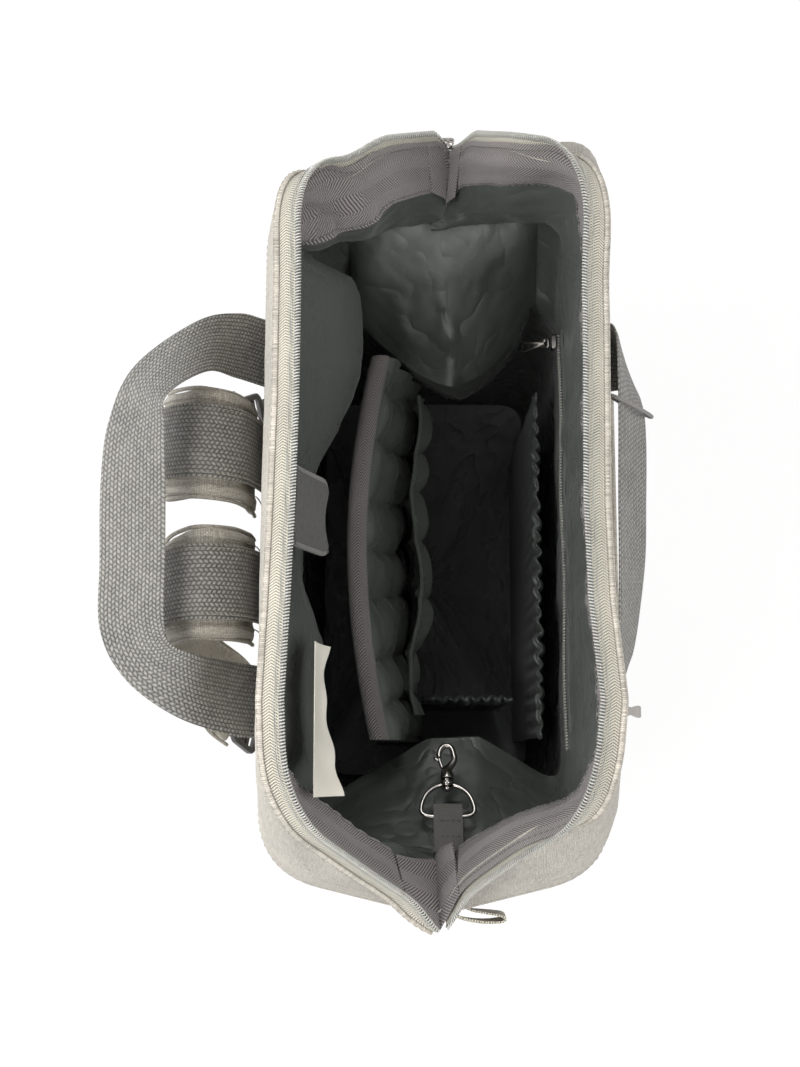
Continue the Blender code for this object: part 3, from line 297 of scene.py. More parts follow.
def ribbon(name, E1, E2, thick, body=None, replaces=(), cells=10, cup=0.0, N=None):
    """A flat band of webbing between two edge lines, with rounded selvedges."""
    width = np.linalg.norm(E2 - E1, axis=1)[:, None]
    across = unit(E2 - E1)
    middle = (E1 + E2) / 2
    n = unit(np.cross(across, unit(np.gradient(middle, axis=0)))) if N is None else N
    x = np.linspace(-1, 1, cells + 1)
    x = np.concatenate([x, x[::-1]])
    half = thick / 2 * np.minimum(1.0, (1 - np.abs(x)) * 8 + 0.35)
    half[cells + 1 :] *= -1
    height = half + cup * (1 - x * x)
    rings = middle[:, None] + (across * (width / 2))[:, None] * x[:, None] + n[:, None] * height[:, None]
    uv = np.stack(np.broadcast_arrays(lengths(middle)[:, None], x * width / 2), -1)
    return loft(name, rings, "webbing", body, replaces, uv=uv)


def stitches(name, line, up, body, finish="thread", slot=None, pitch=0.0042, share=0.68, radius=0.00032):
    """A row of separate stitches along a line; up points off the cloth."""
    line = np.asarray(line, float)
    s = lengths(line)
    up = np.broadcast_to(np.asarray(up, float), line.shape)
    V, faces = [], []
    for i in range(max(1, int(s[-1] / pitch))):
        at = (i + np.array([0.02, 0.3, 0.7, 0.98]) * share) * pitch
        p = sampled(at, s, line)
        n = unit(sampled(at, s, up))
        side = np.cross(unit(p[-1] - p[0]), n[1])
        for q, h in enumerate((-0.4, 0.75, 0.75, -0.4)):
            c = p[q] + n[q] * radius * h
            V += [c + side * radius, c + n[q] * radius, c - side * radius, c - n[q] * radius]
        b = i * 16
        faces += grid_faces(4, 4, True, b)
        faces += [(b + 3, b + 2, b + 1, b), (b + 12, b + 13, b + 14, b + 15)]
    obj = make(name, V, faces, finish, np.zeros((len(V), 2)), 60)
    return place(obj, body)


def web_stitches(name, line, up, body, pitch=0.0032, finish="thread"):
    return stitches(name, line, up, body, finish, "webbing", pitch)


# Materials
class Net:
    """A material whose nodes are written as sums and products."""

    def __init__(self, name, roughness, metallic=0.0, **fixed):
        self.material = bpy.data.materials.new(name)
        self.material.use_nodes = True
        self.tree = self.material.node_tree
        self.shader = self.tree.nodes["Principled BSDF"]
        for key, value in {"Roughness": roughness, "Metallic": metallic, **fixed}.items():
            self.shader.inputs[key.replace("_", " ")].default_value = value

    def put(self, socket, value):
        if isinstance(value, Sock):
            self.tree.links.new(value.out, socket)
        else:
            socket.default_value = value

    def node(self, kind, *values, operation=None, output=0):
        """Adds a node with its first inputs filled, and gives one of its outputs."""
        node = self.tree.nodes.new("ShaderNode" + kind)
        if operation:
            node.operation = operation
        for socket, value in zip(node.inputs, values):
            self.put(socket, value)
        return Sock(self, node.outputs[output])

    def math(self, kind, *values):
        return self.node("Math", *values, operation=kind)

    def uv(self):
        parts = self.node("SeparateXYZ", self.node("UVMap")).out.node.outputs
        return Sock(self, parts[0]), Sock(self, parts[1])

    def place(self):
        """Object coordinates, the same at every pose."""
        return self.node("TexCoord", output="Object")

    def point(self, x, y, z=0.0):
        return self.node("CombineXYZ", x, y, z)

    def noise(self, at, scale=1.0, detail=2.0):
        node = self.tree.nodes.new("ShaderNodeTexNoise")
        self.put(node.inputs["Vector"], at)
        node.inputs["Scale"].default_value = scale
        node.inputs["Detail"].default_value = detail
        return Sock(self, node.outputs[0])

    def fuzz(self, u, v, scale):
        return self.noise(self.point(u * scale, v * scale), 1.0, 3.0)

    def random(self, at):
        return self.node("TexWhiteNoise", at)

    def done(self, colour, share, height, distance, strength, roughness=None):
        """Ends the material: its colour, darker or lighter by a share, and its bumps."""
        mix = self.tree.nodes.new("ShaderNodeMix")
        mix.data_type = "RGBA"
        self.put(mix.inputs[0], share)
        mix.inputs[6].default_value = (0, 0, 0, 1)
        mix.inputs[7].default_value = (*(2 * c for c in colour), 1)
        self.tree.links.new(mix.outputs[2], self.shader.inputs["Base Color"])
        if roughness is not None:
            self.put(self.shader.inputs["Roughness"], roughness)
        bumps = self.tree.nodes.new("ShaderNodeBump")
        bumps.inputs["Strength"].default_value = strength
        bumps.inputs["Distance"].default_value = distance
        self.put(bumps.inputs["Height"], height)
        self.tree.links.new(bumps.outputs[0], self.shader.inputs["Normal"])
        return self.material


def operation(kind):
    """A method that adds a maths node of one kind."""
    return lambda value, *others: value.net.math(kind, value, *others)


class Sock:
    """One value of a material, with arithmetic."""

    def __init__(self, net, out):
        self.net, self.out = net, out

    def __rsub__(self, other):
        return self.net.math("SUBTRACT", other, self)

    def clamp(self, low=0.0, high=1.0):
        return self.net.math("MINIMUM", self.net.math("MAXIMUM", self, low), high)

    __add__ = __radd__ = operation("ADD")
    __sub__ = operation("SUBTRACT")
    __mul__ = __rmul__ = operation("MULTIPLY")
    __truediv__ = operation("DIVIDE")
    __abs__ = operation("ABSOLUTE")
    floor = operation("FLOOR")
    fract = operation("FRACT")
    sin = operation("SINE")
    fold = operation("PINGPONG")
    above = operation("GREATER_THAN")
    power = operation("POWER")


def cloth(name, roughness, sheen, softness, gloss):
    """A cloth material and its two UV values."""
    net = Net(name, roughness, Sheen_Weight=sheen, Sheen_Roughness=softness, Specular_IOR_Level=gloss)
    return net, *net.uv()


def canvas(name, colour):
    """Heathered canvas: a plain weave of mixed light and dark yarn."""
    net, u, v = cloth(name, 0.88, 0.25, 0.6, 0.2)
    a, b = u / 0.00092, v / 0.00080
    ia, ib = a.floor(), b.floor()
    fa, fb = a - ia - 0.5, b - ib - 0.5
    odd = (abs((ia + ib) * 0.5).fract()).above(0.25)
    long_way = (1 - fa * fa * 3.0) * (1 - (fb * fb * 4).power(1.5)).clamp()
    cross_way = (1 - fb * fb * 3.0) * (1 - (fa * fa * 4).power(1.5)).clamp()
    height = odd * long_way + (1 - odd) * cross_way
    cell = net.random(net.point(ia, ib, odd))
    yarn_u = net.noise(net.point(u * 90, v * 1250))
    yarn_v = net.noise(net.point(u * 1100, v * 90, 3.0))
    yarn = odd * yarn_v + (1 - odd) * yarn_u
    patches = net.noise(net.point(u, v), 14.0, 3.0)
    share = 0.08 + 0.75 * (yarn - 0.5) + height * 0.30 + (cell - 0.5) * 0.14 + patches * 0.34
    return net.done(colour, share.clamp(0.03, 0.95), height + cell * 0.3, 0.0004, 0.7)


def basket(name, colour, pitch, width):
    """Coarse webbing: rows of plump slanting stitches, each row half a stitch on from the last."""
    net, u, v = cloth(name, 0.85, 0.2, 0.5, 0.25)
    row = (v / width).floor()
    beside = (v / width).fract() - 0.5
    turn = (abs((row * 0.5).fract()).above(0.25)) * 2 - 1
    run = u / pitch + turn * 0.25 + beside * turn * 0.42
    ahead = run.fract() - 0.5
    plump = (1 - ahead * ahead * 3.4) * (1 - (beside * beside * 4).power(1.5) * 0.9)
    strand = abs((ahead * turn * 3.0 + beside * 9.0).sin())
    cell = net.random(net.point(run.floor(), row, 0.0))
    fuzz = net.fuzz(u, v, 900)
    patches = net.noise(net.point(u, v), 20.0, 3.0)
    share = plump.clamp() * 0.46 + strand * 0.06 + (cell - 0.5) * 0.12
    share = share + (fuzz - 0.5) * 0.20 + patches * 0.20
    return net.done(colour, share.clamp(0.02, 0.98), plump + fuzz * 0.2 + strand * 0.1, 0.0012, 0.9)


def herringbone(name, colour, pitch, width, contrast=0.6):
    """Twill tape whose diagonal lines turn at each column."""
    net, u, v = cloth(name, 0.85, 0.2, 0.5, 0.2)
    line = ((u + v.fold(width) * 1.1) / pitch).fract() - 0.5
    rib = 1 - line * line * 4
    strand = abs((v * (math.pi / (pitch * 0.5))).sin())
    fuzz = net.fuzz(u, v, 1100)
    patches = net.noise(net.point(u, v), 25.0, 3.0)
    share = 0.5 - contrast * 0.66 + rib * contrast + strand * 0.07
    share = share + (fuzz - 0.5) * 0.22 + (patches - 0.5) * 0.34
    return net.done(colour, share.clamp(0.02, 0.98), rib + strand * 0.25, 0.0006, 0.85)


def felt(name, colour):
    """Napped hook-and-loop cloth."""
    net, u, v = cloth(name, 0.95, 0.12, 0.5, 0.1)
    nap = net.fuzz(u, v, 1600)
    clumps = net.fuzz(u, v, 320)
    share = 0.12 + nap * 0.42 + clumps * 0.34
    return net.done(colour, share.clamp(0.02, 0.98), nap + clumps, 0.0009, 0.8)


def satin(name, colour, roughness, crinkle):
    """Thin shiny lining cloth with soft creases."""
    net, u, v = cloth(name, roughness, 0.1, 0.4, 0.8)
    at = net.point(u, v)
    fine = abs((u * (math.pi / 0.00046)).sin()) * abs((v * (math.pi / 0.0004)).sin())
    bend = net.noise(at, 20.0)
    crease = 1 - abs(net.noise(net.point(u + bend * 0.03, v), 34.0) - 0.5) * 2
    soft = net.noise(at, 24.0)
    patches = net.noise(at, 9.0)
    share = 0.30 + fine * 0.16 + patches * 0.26 + (soft - 0.5) * 0.16
    height = crease.power(5.0) * 0.22 * crinkle + soft * 1.2 * crinkle + fine * 0.03
    rough = (roughness - 0.05 + soft * 0.12).clamp(0.1, 1.0)
    return net.done(colour, share, height, 0.0026, 0.7, rough)


def metal(name, colour, roughness):
    net = Net(name, roughness, 1.0)
    at = net.place()
    haze = net.noise(at, 90.0, 4.0)
    grain = net.noise(at, 2600.0)
    rough = (roughness + (haze - 0.5) * 0.15 + (grain - 0.5) * 0.06).clamp(0.04, 1.0)
    return net.done(colour, 0.38 + haze * 0.24, haze * 0.6 + grain * 0.1, 0.00015, 0.25, rough)


def moulded(name, colour, roughness, grain_scale=1400.0, depth=0.0001, **fixed):
    net = Net(name, roughness, **fixed)
    at = net.place()
    grain = net.noise(at, grain_scale)
    haze = net.noise(at, 60.0, 3.0)
    rough = (roughness - 0.1 + haze * 0.2).clamp(0.05, 1.0)
    return net.done(colour, 0.36 + haze * 0.2 + grain * 0.08, grain, depth, 0.4, rough)


FINISH = {
    "outer": canvas("heather_canvas", (0.47, 0.435, 0.375)),
    "webbing": basket("webbing_basket", (0.265, 0.258, 0.238), 0.0027, 0.0023),
    "tab": herringbone("twill_tab", (0.155, 0.15, 0.137), 0.0014, 0.009),
    "felt": felt("napped_tab", (0.092, 0.090, 0.085)),
    "zip_tape": herringbone("zip_tape", (0.40, 0.377, 0.315), 0.0014, 0.0029, 0.55),
    "coil": moulded("coil_nylon", (0.38, 0.375, 0.345), 0.3, 900.0, 0.00003, Specular_IOR_Level=0.7),
    "binding": herringbone("binding_twill", (0.158, 0.143, 0.138), 0.0018, 0.0066, 0.8),
    "lining": satin("satin_lining", (0.074, 0.083, 0.073), 0.27, 1.5),
    "pad_lining": satin("satin_pad", (0.100, 0.112, 0.096), 0.26, 1.6),
    "pocket_lining": satin("satin_pocket", (0.062, 0.070, 0.064), 0.4, 0.8),
    "steel": metal("bright_steel", (0.62, 0.6, 0.56), 0.2),
    "dark_metal": metal("dark_nickel", (0.34, 0.32, 0.3), 0.17),
    "label": satin("label_ribbon", (0.83, 0.79, 0.69), 0.6, 0.12),
    "padding": moulded("foam", (0.10, 0.10, 0.10), 0.95, 500.0, 0.0005),
    "board": moulded("board", (0.12, 0.12, 0.12), 0.8),
    "plastic": moulded("moulded_nylon", (0.06, 0.058, 0.056), 0.4),
    "elastic": herringbone("elastic_braid", (0.24, 0.23, 0.215), 0.0012, 0.0011),
    "thread": moulded("sewing_thread", (0.30, 0.275, 0.24), 0.7, 2500.0, 0.0001),
    "dark_thread": moulded("dark_thread", (0.10, 0.098, 0.09), 0.7, 2500.0, 0.0001),
}


# Outlines shared with the solids
def quarter(section, radius, counts=(14, 10, 24)):
    end, corner, middle = (np.asarray(p, float) for p in section)
    start = corner + unit(end - corner) * radius
    stop = corner + unit(middle - corner) * radius
    t = np.linspace(0, 1, counts[0], endpoint=False)[:, None]
    side = end + (start - end) * t
    t = np.linspace(0, 1, counts[1], endpoint=False)[:, None]
    arc = start * (1 - t) ** 2 + corner * 2 * t * (1 - t) + stop * t * t
    t = np.linspace(0, 1, counts[2] + 1)[:, None]
    return np.vstack([side, arc, stop + (middle - stop) * t])


def half_loop(section, radius, counts=(14, 10, 24)):
    """From the right end round the front to the left end."""
    points = quarter(section, radius, counts)
    return np.vstack([points, mirror(points[-2::-1], x=-1)])


def whole_loop(section, radius, counts=(14, 10, 24)):
    front = half_loop(section, radius, counts)
    return np.vstack([front, mirror(front[-2:0:-1], y=-1)])


def body_section(z):
    tuck = TUCK * max(0.0, 1 - z / TUCK_Z) ** 2
    x, y = HALF_X - tuck, -(HALF_Y - tuck)
    swell = (z / TOP) ** 2
    return arr((x + CROWN + FLARE * swell, 0, z), (x + CORNER_FLARE * swell, y, z), (0, y, z))


def opened(x, y, rise):
    """Points of the front rim, given closed, swung open."""
    c, s = math.cos(MOUTH), math.sin(MOUTH)
    x, y, rise = np.broadcast_arrays(x, y, rise)
    return np.stack([x, y * c - rise * s, TIP_Z + y * s + rise * c], -1)


def rim_line(room=0.004, counts=(30, 12, 44)):
    """The closed rim in its own plane, with the normal towards the bag's inside."""
    tip, corner = arr((TIP_X, 0, 0), (RIM_X, 0, RIM_RISE))
    tip = tip + unit(corner - tip) * room
    line = quarter((tip, corner, arr((0, 0, RIM_RISE))[0]), RIM_R, counts)
    line = np.vstack([line, mirror(line[-2::-1], x=-1)])[:, [0, 2]]
    run = unit(np.gradient(line, axis=0))
    return line, np.stack([-run[:, 1], run[:, 0]], 1)


# How the soft rim lies in the photograph, front (1) and back (-1): its drift along Y at
# places along X, how far its legs bow out, and how far the tape is turned down along them
DRIFT_X = (-0.200, -0.155, -0.140, -0.104, -0.058, -0.011, 0.038, 0.078, 0.118, 0.155, 0.200)
DRIFT = {
    1: (0.0000, -0.0012, -0.0023, -0.0060, -0.0015, -0.0002, -0.0011, -0.0017, -0.0015, -0.0010, 0.0000),
    -1: (0.0000, 0.0015, 0.0028, 0.0042, 0.0020, 0.0002, -0.0010, -0.0011, -0.0013, -0.0006, 0.0000),
}
BOW = {(1, 1): 0.0108, (1, -1): 0.0092, (-1, 1): 0.0010, (-1, -1): 0.0}
TURN = {(1, 1): 1.0, (1, -1): 1.0, (-1, 1): 0.9, (-1, -1): 0.0}


def by_end(x, table, side):
    return np.where(x > 0, table[1, side], table[-1, side])


def leg_turn(line, side):
    """How much of the full turn the tape has made, 0 on the long sides."""
    return smooth((RIM_RISE * 0.96 - line[..., 1]) / 0.05) * by_end(line[..., 0], TURN, side)


def spot(line, inward, across, depth, side):
    """Rim points at a distance across the zip and a depth below it, front or back."""
    u = np.clip(line[..., 1] / RIM_RISE, 0, 1)
    x = line[..., 0]
    near = smooth((np.abs(x) - 0.09) / 0.055)
    fall, grow = (0.74, 0.30) if side > 0 else (0.34, 0.10)
    shape = smooth(u / grow) * (1 - smooth((u - fall) / 0.40) * 0.86)
    bow = by_end(x, BOW, side) * near * np.where(x > 0, shape, np.sin(np.pi * u))
    tip = bump(u, 0, 0.13)
    q = line + inward * (np.asarray(depth) - bow)[..., None]
    shut = 1 - 0.8 * bump(u, 0, 0.08)
    P = mirror(opened(q[..., 0], -np.asarray(across) * shut, q[..., 1]), y=side)
    P[..., 1] += np.interp(x, DRIFT_X, DRIFT[side]) * smooth(u / 0.9)
    P[..., 0] -= 0.0090 * tip * (x < 0)
    P[..., 1] -= np.where(x < 0, 0.0040, 0.0095) * bump(u, 0, 0.25)
    P[..., 0] += 0.0016 * bump(x, 0.178, 0.012) * (1 - tip) * (side > 0)
    return P


def rim_point(line, inward, across, depth, side):
    """The same, turned about the zip where the tape hangs down along the legs."""
    share = leg_turn(line, side)
    across = across - np.maximum(across - 0.0085, 0) * share * 0.9
    turn = share * math.radians(82)
    c, s = np.cos(turn), np.sin(turn)
    return spot(line, inward, across * c - depth * s, across * s + depth * c, side)


def binding_point(run, off):
    c, s = math.cos(BIND_LEAN), math.sin(BIND_LEAN)
    return LIP - BIND_IN + run * s - off * c, 0.0004 + GAP + run * c + off * s


def binding_spot(line, inward, run, off, side):
    """A point of the binding, which starts lower where the tape is turned down."""
    across, depth = binding_point(run, off)
    share = leg_turn(line, side)
    across = across + (-0.0014 + 0.12 * run - off - across) * share
    depth = depth + (0.0066 + 0.98 * run - depth) * share
    return spot(line, inward, across, depth, side)


SIDES = ((1, "front", "mouth_front"), (-1, "back", "mouth_back"))


def bend(obj, mouth, replaces=()):
    """Cloth that runs from the bag to one half of the mouth: hides the parts it replaces and bakes its
    transform into its points, tied to no body.
    """
    place(obj, None, replaces)
    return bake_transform(obj)


# Shell
def between(low, high, count):
    """Rows of points from one line to another, and how far each has come."""
    share = np.linspace(0, 1, count)[:, None]
    return low + (high - low) * share[..., None], share


def lower_shell():
    """The bag's walls below the fold, and its base; returns the rows of the outer face."""
    zs = np.concatenate([[0.003], np.linspace(0.008, 0.07, 12), np.linspace(0.07, TOP, 36)[1:]])
    P = np.array([whole_loop(body_section(z), CORNER) for z in zs])
    N = facing(normals(P, True), np.s_[20, :10], 0)
    corner = bump(np.abs(P[..., 0]), 0.15, 0.02) * bump(np.abs(P[..., 1]), 0.08, 0.02)
    ripple = 0.0011 * np.sin(P[..., 2] * 150 + np.sign(P[..., 0]) * 2) * corner
    shift = 0.0011 * (noisy(P, 17, 3) - 0.7) + 0.0005 * (noisy(P, 60, 8) - 0.6) + ripple - 0.0008
    shift = shift * smooth(zs / 0.05)[:, None]
    on_foam = P[..., 1] > 0.05
    shift = np.where(on_foam, np.maximum(shift, -0.0009), shift)
    P = P + N * shift[..., None]
    base = []
    lifts = ((0.02, 0.0006), (0.4, 0.0004), (0.75, 0.0), (0.93, 0.0), (0.975, 0.0001), (0.993, 0.0012))
    for scale, z in lifts:
        ring = whole_loop(body_section(0.0), CORNER) * scale
        ring[:, 2] = z
        base.append(ring)
    P = np.concatenate([np.array(base), P])
    uv = np.stack(np.meshgrid(loop_lengths(P[12]), lengths(P[:, 5])), -1)
    N = facing(normals(P, True), np.s_[25, :10], 0)
    names = ("base_panel", "front_panel", "back_panel", "side_panel_left", "side_panel_right")
    skin("shell", P, N, "outer", "bag", names, uv, True)
    return P


SHELL = lower_shell()


def wall_y(x, z, side):
    """How far the shell's front (-1) or back (1) wall stands from the middle."""
    rows = SHELL[6:]
    line = rows[int(np.argmin(np.abs(rows[:, 48, 2] - z)))]
    pick = np.where(np.sign(line[:, 1]) == side)[0]
    pick = pick[np.argsort(line[pick, 0])]
    return abs(np.interp(x, line[pick, 0], line[pick, 1]))


def upper_shell():
    """The canvas above the fold, shaped to meet the open mouth."""
    line, inward = rim_line(counts=(14, 10, 24))
    for side, word, mouth in SIDES:
        low = mirror(half_loop(body_section(TOP), CORNER), y=side)
        high = rim_point(line, inward, LIP + 0.0045, 0.0, side)
        high[[0, -1], 1] *= 0.2
        P, t = between(low, high, 26)
        loose = np.sin(np.pi * t)
        x, y = P[..., 0], P[..., 1]
        out = unit(np.stack([x / HALF_X, y / HALF_Y, x * 0], -1))
        P = P + out * (0.004 * loose * np.abs(y) / HALF_Y)[..., None]
        N = facing(normals(P), np.s_[10, 40:60], 1, -side)
        near_end = smooth((np.abs(P[..., 0]) - 0.13) / 0.05)
        fold = 0.0020 * noisy(P * [1, 1, 0.35], 34, side * 5) * (0.35 + near_end)
        P = P + N * ((fold - 0.0012) * loose)[..., None]
        x, y = P[..., 0], P[..., 1]
        full = bump(x, 0.165, 0.024) * bump(np.abs(y), 0.066, 0.034) * loose**0.6 * (side > 0)
        P = P + np.array([0.0190, 0.0, 0.002]) * full[..., None]
        names = [f"{word}_panel_top"] + (["gusset_left", "gusset_right"] if side > 0 else [])
        obj = skin(f"shell_top_{word}", P, N, "outer", None, (), grid_uv(P) + [0, 0.3])
        bend(obj, mouth, names)
        step = P[1] - P[0]
        seam = P[0] + step * (0.0035 / np.linalg.norm(step, axis=1))[:, None]
        stitches(f"body_seam_{word}", *along(seam - N[0] * 0.0001, N[0]), "bag", radius=0.00024)


upper_shell()


# Rim
def rim_rows(points, side):
    """Lines along one half of the rim, one for each (across, depth)."""
    line, inward = rim_line()
    return np.array([rim_point(line, inward, a, d, side) for a, d in points])


def rim_band(name, section, side, finish, body, replaces=()):
    """A section of (across, depth) points swept along one half of the rim."""
    rings = rim_rows(section, side).swapaxes(0, 1)
    return loft(name, rings if side > 0 else rings[:, ::-1], finish, body, replaces)


def rim_stitches(name, across, depth, side, *how, **more):
    """Stitches that stand up from the rim."""
    rows = rim_rows([(across, depth), (across, depth - 0.0004)], side)
    stitches(name, *along(rows[0], unit(rows[1] - rows[0])), *how, **more)


def coil(name, side, body, replaces):
    """The zip's coil: one round filament wound along the rim round a cord, and sewn down."""
    line, inward = rim_line()
    s = lengths(line)
    turns = int(s[-1] / 0.0015)
    at = np.linspace(0, s[-1], turns * 9)
    a = at / s[-1] * turns * 2 * math.pi
    filament = 0.0004
    across = GAP + COIL_W / 2 + (COIL_W / 2 - filament) * np.cos(a)
    depth = (COIL_T / 2 - filament) * np.sin(a)
    P = rim_point(sampled(at, s, line), unit(sampled(at, s, inward)), across, depth, side)
    tube(name, P, filament, "coil", body, replaces, sides=6)
    core = rim_rows([(0.0026, 0.0)], side)[0]
    tube(name + "_core", core, 0.0008, "dark_thread", body, sides=6)
    for k, off in enumerate((0.0052, 0.0062)):
        rim_stitches(f"{name}_sewing_{k}", off, -0.0006, side, body, "coil", "coil", 0.0015, 0.72, 0.00030)


def rim():
    half = 0.0004
    tape = [(0.0155, half), (0.0155, -half), (0.0035, -half), (0.0035, half)]
    lip = [(0.0158, 0.0045), (0.0165, 0.0040), (0.0168, 0.0010), (0.0166, -0.0010), (0.0158, -0.0022)]
    lip += [(0.0147, -0.0025), (0.0136, -0.0021), (0.0131, -0.0013), (0.0132, -0.0006), (0.0137, -0.0005)]
    lip += [(0.0147, -0.0006), (0.0155, -0.0004), (0.0158, 0.0010)]
    for side, word, body in SIDES:
        rim_band(f"tape_{word}", tape, side, "zip_tape", body, f"zip_tape_{word}")
        coil(f"coil_{word}", side, body, f"zip_coil_{word}")
        rim_band(f"lip_{word}", lip, side, "outer", body)
        rim_stitches(f"lip_stitch_{word}", 0.0149, -0.0024, side, body, radius=0.00024)


rim()


def bindings():
    """The binding tape of each half; returns the lines that the lining is sewn to."""
    line, inward = rim_line()
    s = lengths(line)
    middle = s[-1] * 0.5
    hems = {}
    runs = [0, 0.0008, 0.003, 0.006, 0.008, 0.0095, 0.011, 0.013, 0.017, 0.021, 0.024, 0.0262, 0.0272, BIND_W]
    runs = np.array(runs)
    for side, word, body in SIDES:
        wave = 0.0005 * np.sin(s * 2 * math.pi / 0.011) + 0.0009 * np.sin(s * 2 * math.pi / 0.047 + side)
        rows = []
        for run in runs:
            off = 0.00045 + 0.0009 * bump(run, 0.0095, 0.0022) - 0.0003 * bump(run, 0.0258, 0.0008)
            off = off + wave * smooth((run - 0.016) / 0.012) * 0.9
            rows.append(binding_spot(line, inward, run, off, side))
        P = np.array(rows)
        R = runs[:, None] / BIND_W
        corner = bump(line[:, 0], 0.160, 0.022) * (1 if side < 0 else 0.25)
        droop = bump(s, middle - 0.12, 0.02) + bump(s, middle + 0.02, 0.03) * 0.4
        rise = 0.0022 * noisy(P * [1, 1, 0.4], 42, 31 + side) * R
        P[..., 2] -= (corner * 0.010 + droop * 0.001) * R**1.5 + rise * (0.4 + corner)
        P[..., 0] -= 0.0075 * corner * R + 0.0020 * corner * np.sin(R * 9 + s * 160)
        hang = 1.5 * bump(line[:, 0], 0.160, 0.034) + 0.8 * bump(line[:, 0], -0.178, 0.026)
        hang = 0.013 * (side > 0) * hang * R**2
        P[..., 0] += hang * np.sign(line[:, 0])
        P[..., 2] -= hang
        legs = 0.0012 * (line[:, 1] < RIM_RISE * 0.9) * np.sin(s * 120 + side)
        P[..., 1] -= side * (0.0030 * corner * np.sin(s * 190 + R * 4) + legs) * R
        uv = np.stack(np.meshgrid(s, runs), -1)
        sheet(f"binding_{word}_cloth", P, 0.0008, "binding", body, f"binding_{word}", uv)
        out = facing(normals(P), np.s_[7, 50:90], 1, side)
        hems[side] = np.column_stack([s / s[-1], P[-3] - out[-3] * 0.0012])
        tube(f"wire_{word}", P[5] - out[5] * 0.0022, 0.0012, "steel", body, f"frame_wire_{word}")
        for row, off in ((2, 0.0006), (11, 0.0007)):
            args = (body, "dark_thread", "binding", 0.0036, 0.7, 0.00028)
            stitches(f"binding_stitch_{word}_{row}", *along(P[row] + out[row] * off, out[row]), *args)
    for word, last, past in (("right", 0, 6), ("left", -1, -7)):
        rows = []
        for run in runs:
            picks = ((1, past), (1, last), (-1, last), (-1, past))
            a, b, c, d = (binding_spot(line[i], inward[i], run, 0.0012, side) for side, i in picks)
            shift = 0.002 - 0.004 * run / BIND_W if word == "right" else 0.012 * (run / BIND_W) ** 1.2 - 0.002
            b[0] += shift
            c[0] += shift
            keys = [a, (a + b) / 2, b * 0.6 + c * 0.4, b * 0.4 + c * 0.6, (c + d) / 2, d]
            rows.append(resample(curve(keys, 8), 30))
        P = np.array(rows)
        if word == "left":
            P = P[:, ::-1]
        uv = np.stack(np.meshgrid(lengths(P[6]), runs), -1)
        sheet(f"binding_bridge_{word}", P, 0.0008, "binding", "bag", (), uv)
    return hems


HEMS = bindings()


# Lining
LINING = 0.0008


def tongue(P):
    """The lining's ends folded in, a hanging pouch at the right and a flap at the left,
    and its back wall hanging loose beside the pouch."""
    P = np.array(P)
    x, y, z = P[..., 0], P[..., 1], P[..., 2]
    end = smooth((np.abs(x) - 0.10) / 0.035)
    right = x > 0
    aside = np.abs(y - np.where(right, -0.012, -0.013))
    half = np.where(y < -0.012, 0.048, 0.058)
    round_edge = np.cos(np.clip(aside / half, 0, 1) * math.pi / 2) ** 0.55
    straight_edge = np.clip((0.066 - aside) / 0.052, 0, 1)
    window = np.where(right, round_edge, straight_edge)
    low = smooth(z / 0.24) ** 1.3
    high = np.clip((0.302 - z) / 0.062, 0, 1)
    depth = np.where(right, 0.052 * np.minimum(low, high**0.8), 0.029 * np.minimum(low, high))
    inward = depth * window * end
    base = 0.030 * np.clip((z - 0.24) / 0.06, 0, 1) ** 0.8 * end
    P[..., 0] = x + np.sign(x) * (base - inward)
    beside = 0.034 * smooth(x / 0.095) * (1 - smooth((x - 0.136) / 0.022))
    opposite = 0.014 * smooth((-0.025 - x) / 0.05) * smooth((x + 0.158) / 0.02)
    P[..., 1] = y - (beside + opposite) * smooth((z - 0.235) / 0.06) * (y > 0.05)
    return P, inward


def lining_row(z):
    tuck = TUCK * max(0.0, 1 - z / TUCK_Z) ** 2
    share = smooth(np.array((z / TOP - 0.5) * 2))
    y = -(0.0845 + (0.0765 - 0.0845) * share - tuck)
    x = 0.150 - tuck
    return arr((x + 0.0005, 0, z), (x, y, z), (0, y, z))


def lining_loop(z):
    return whole_loop(lining_row(z), 0.020, (20, 8, 30))


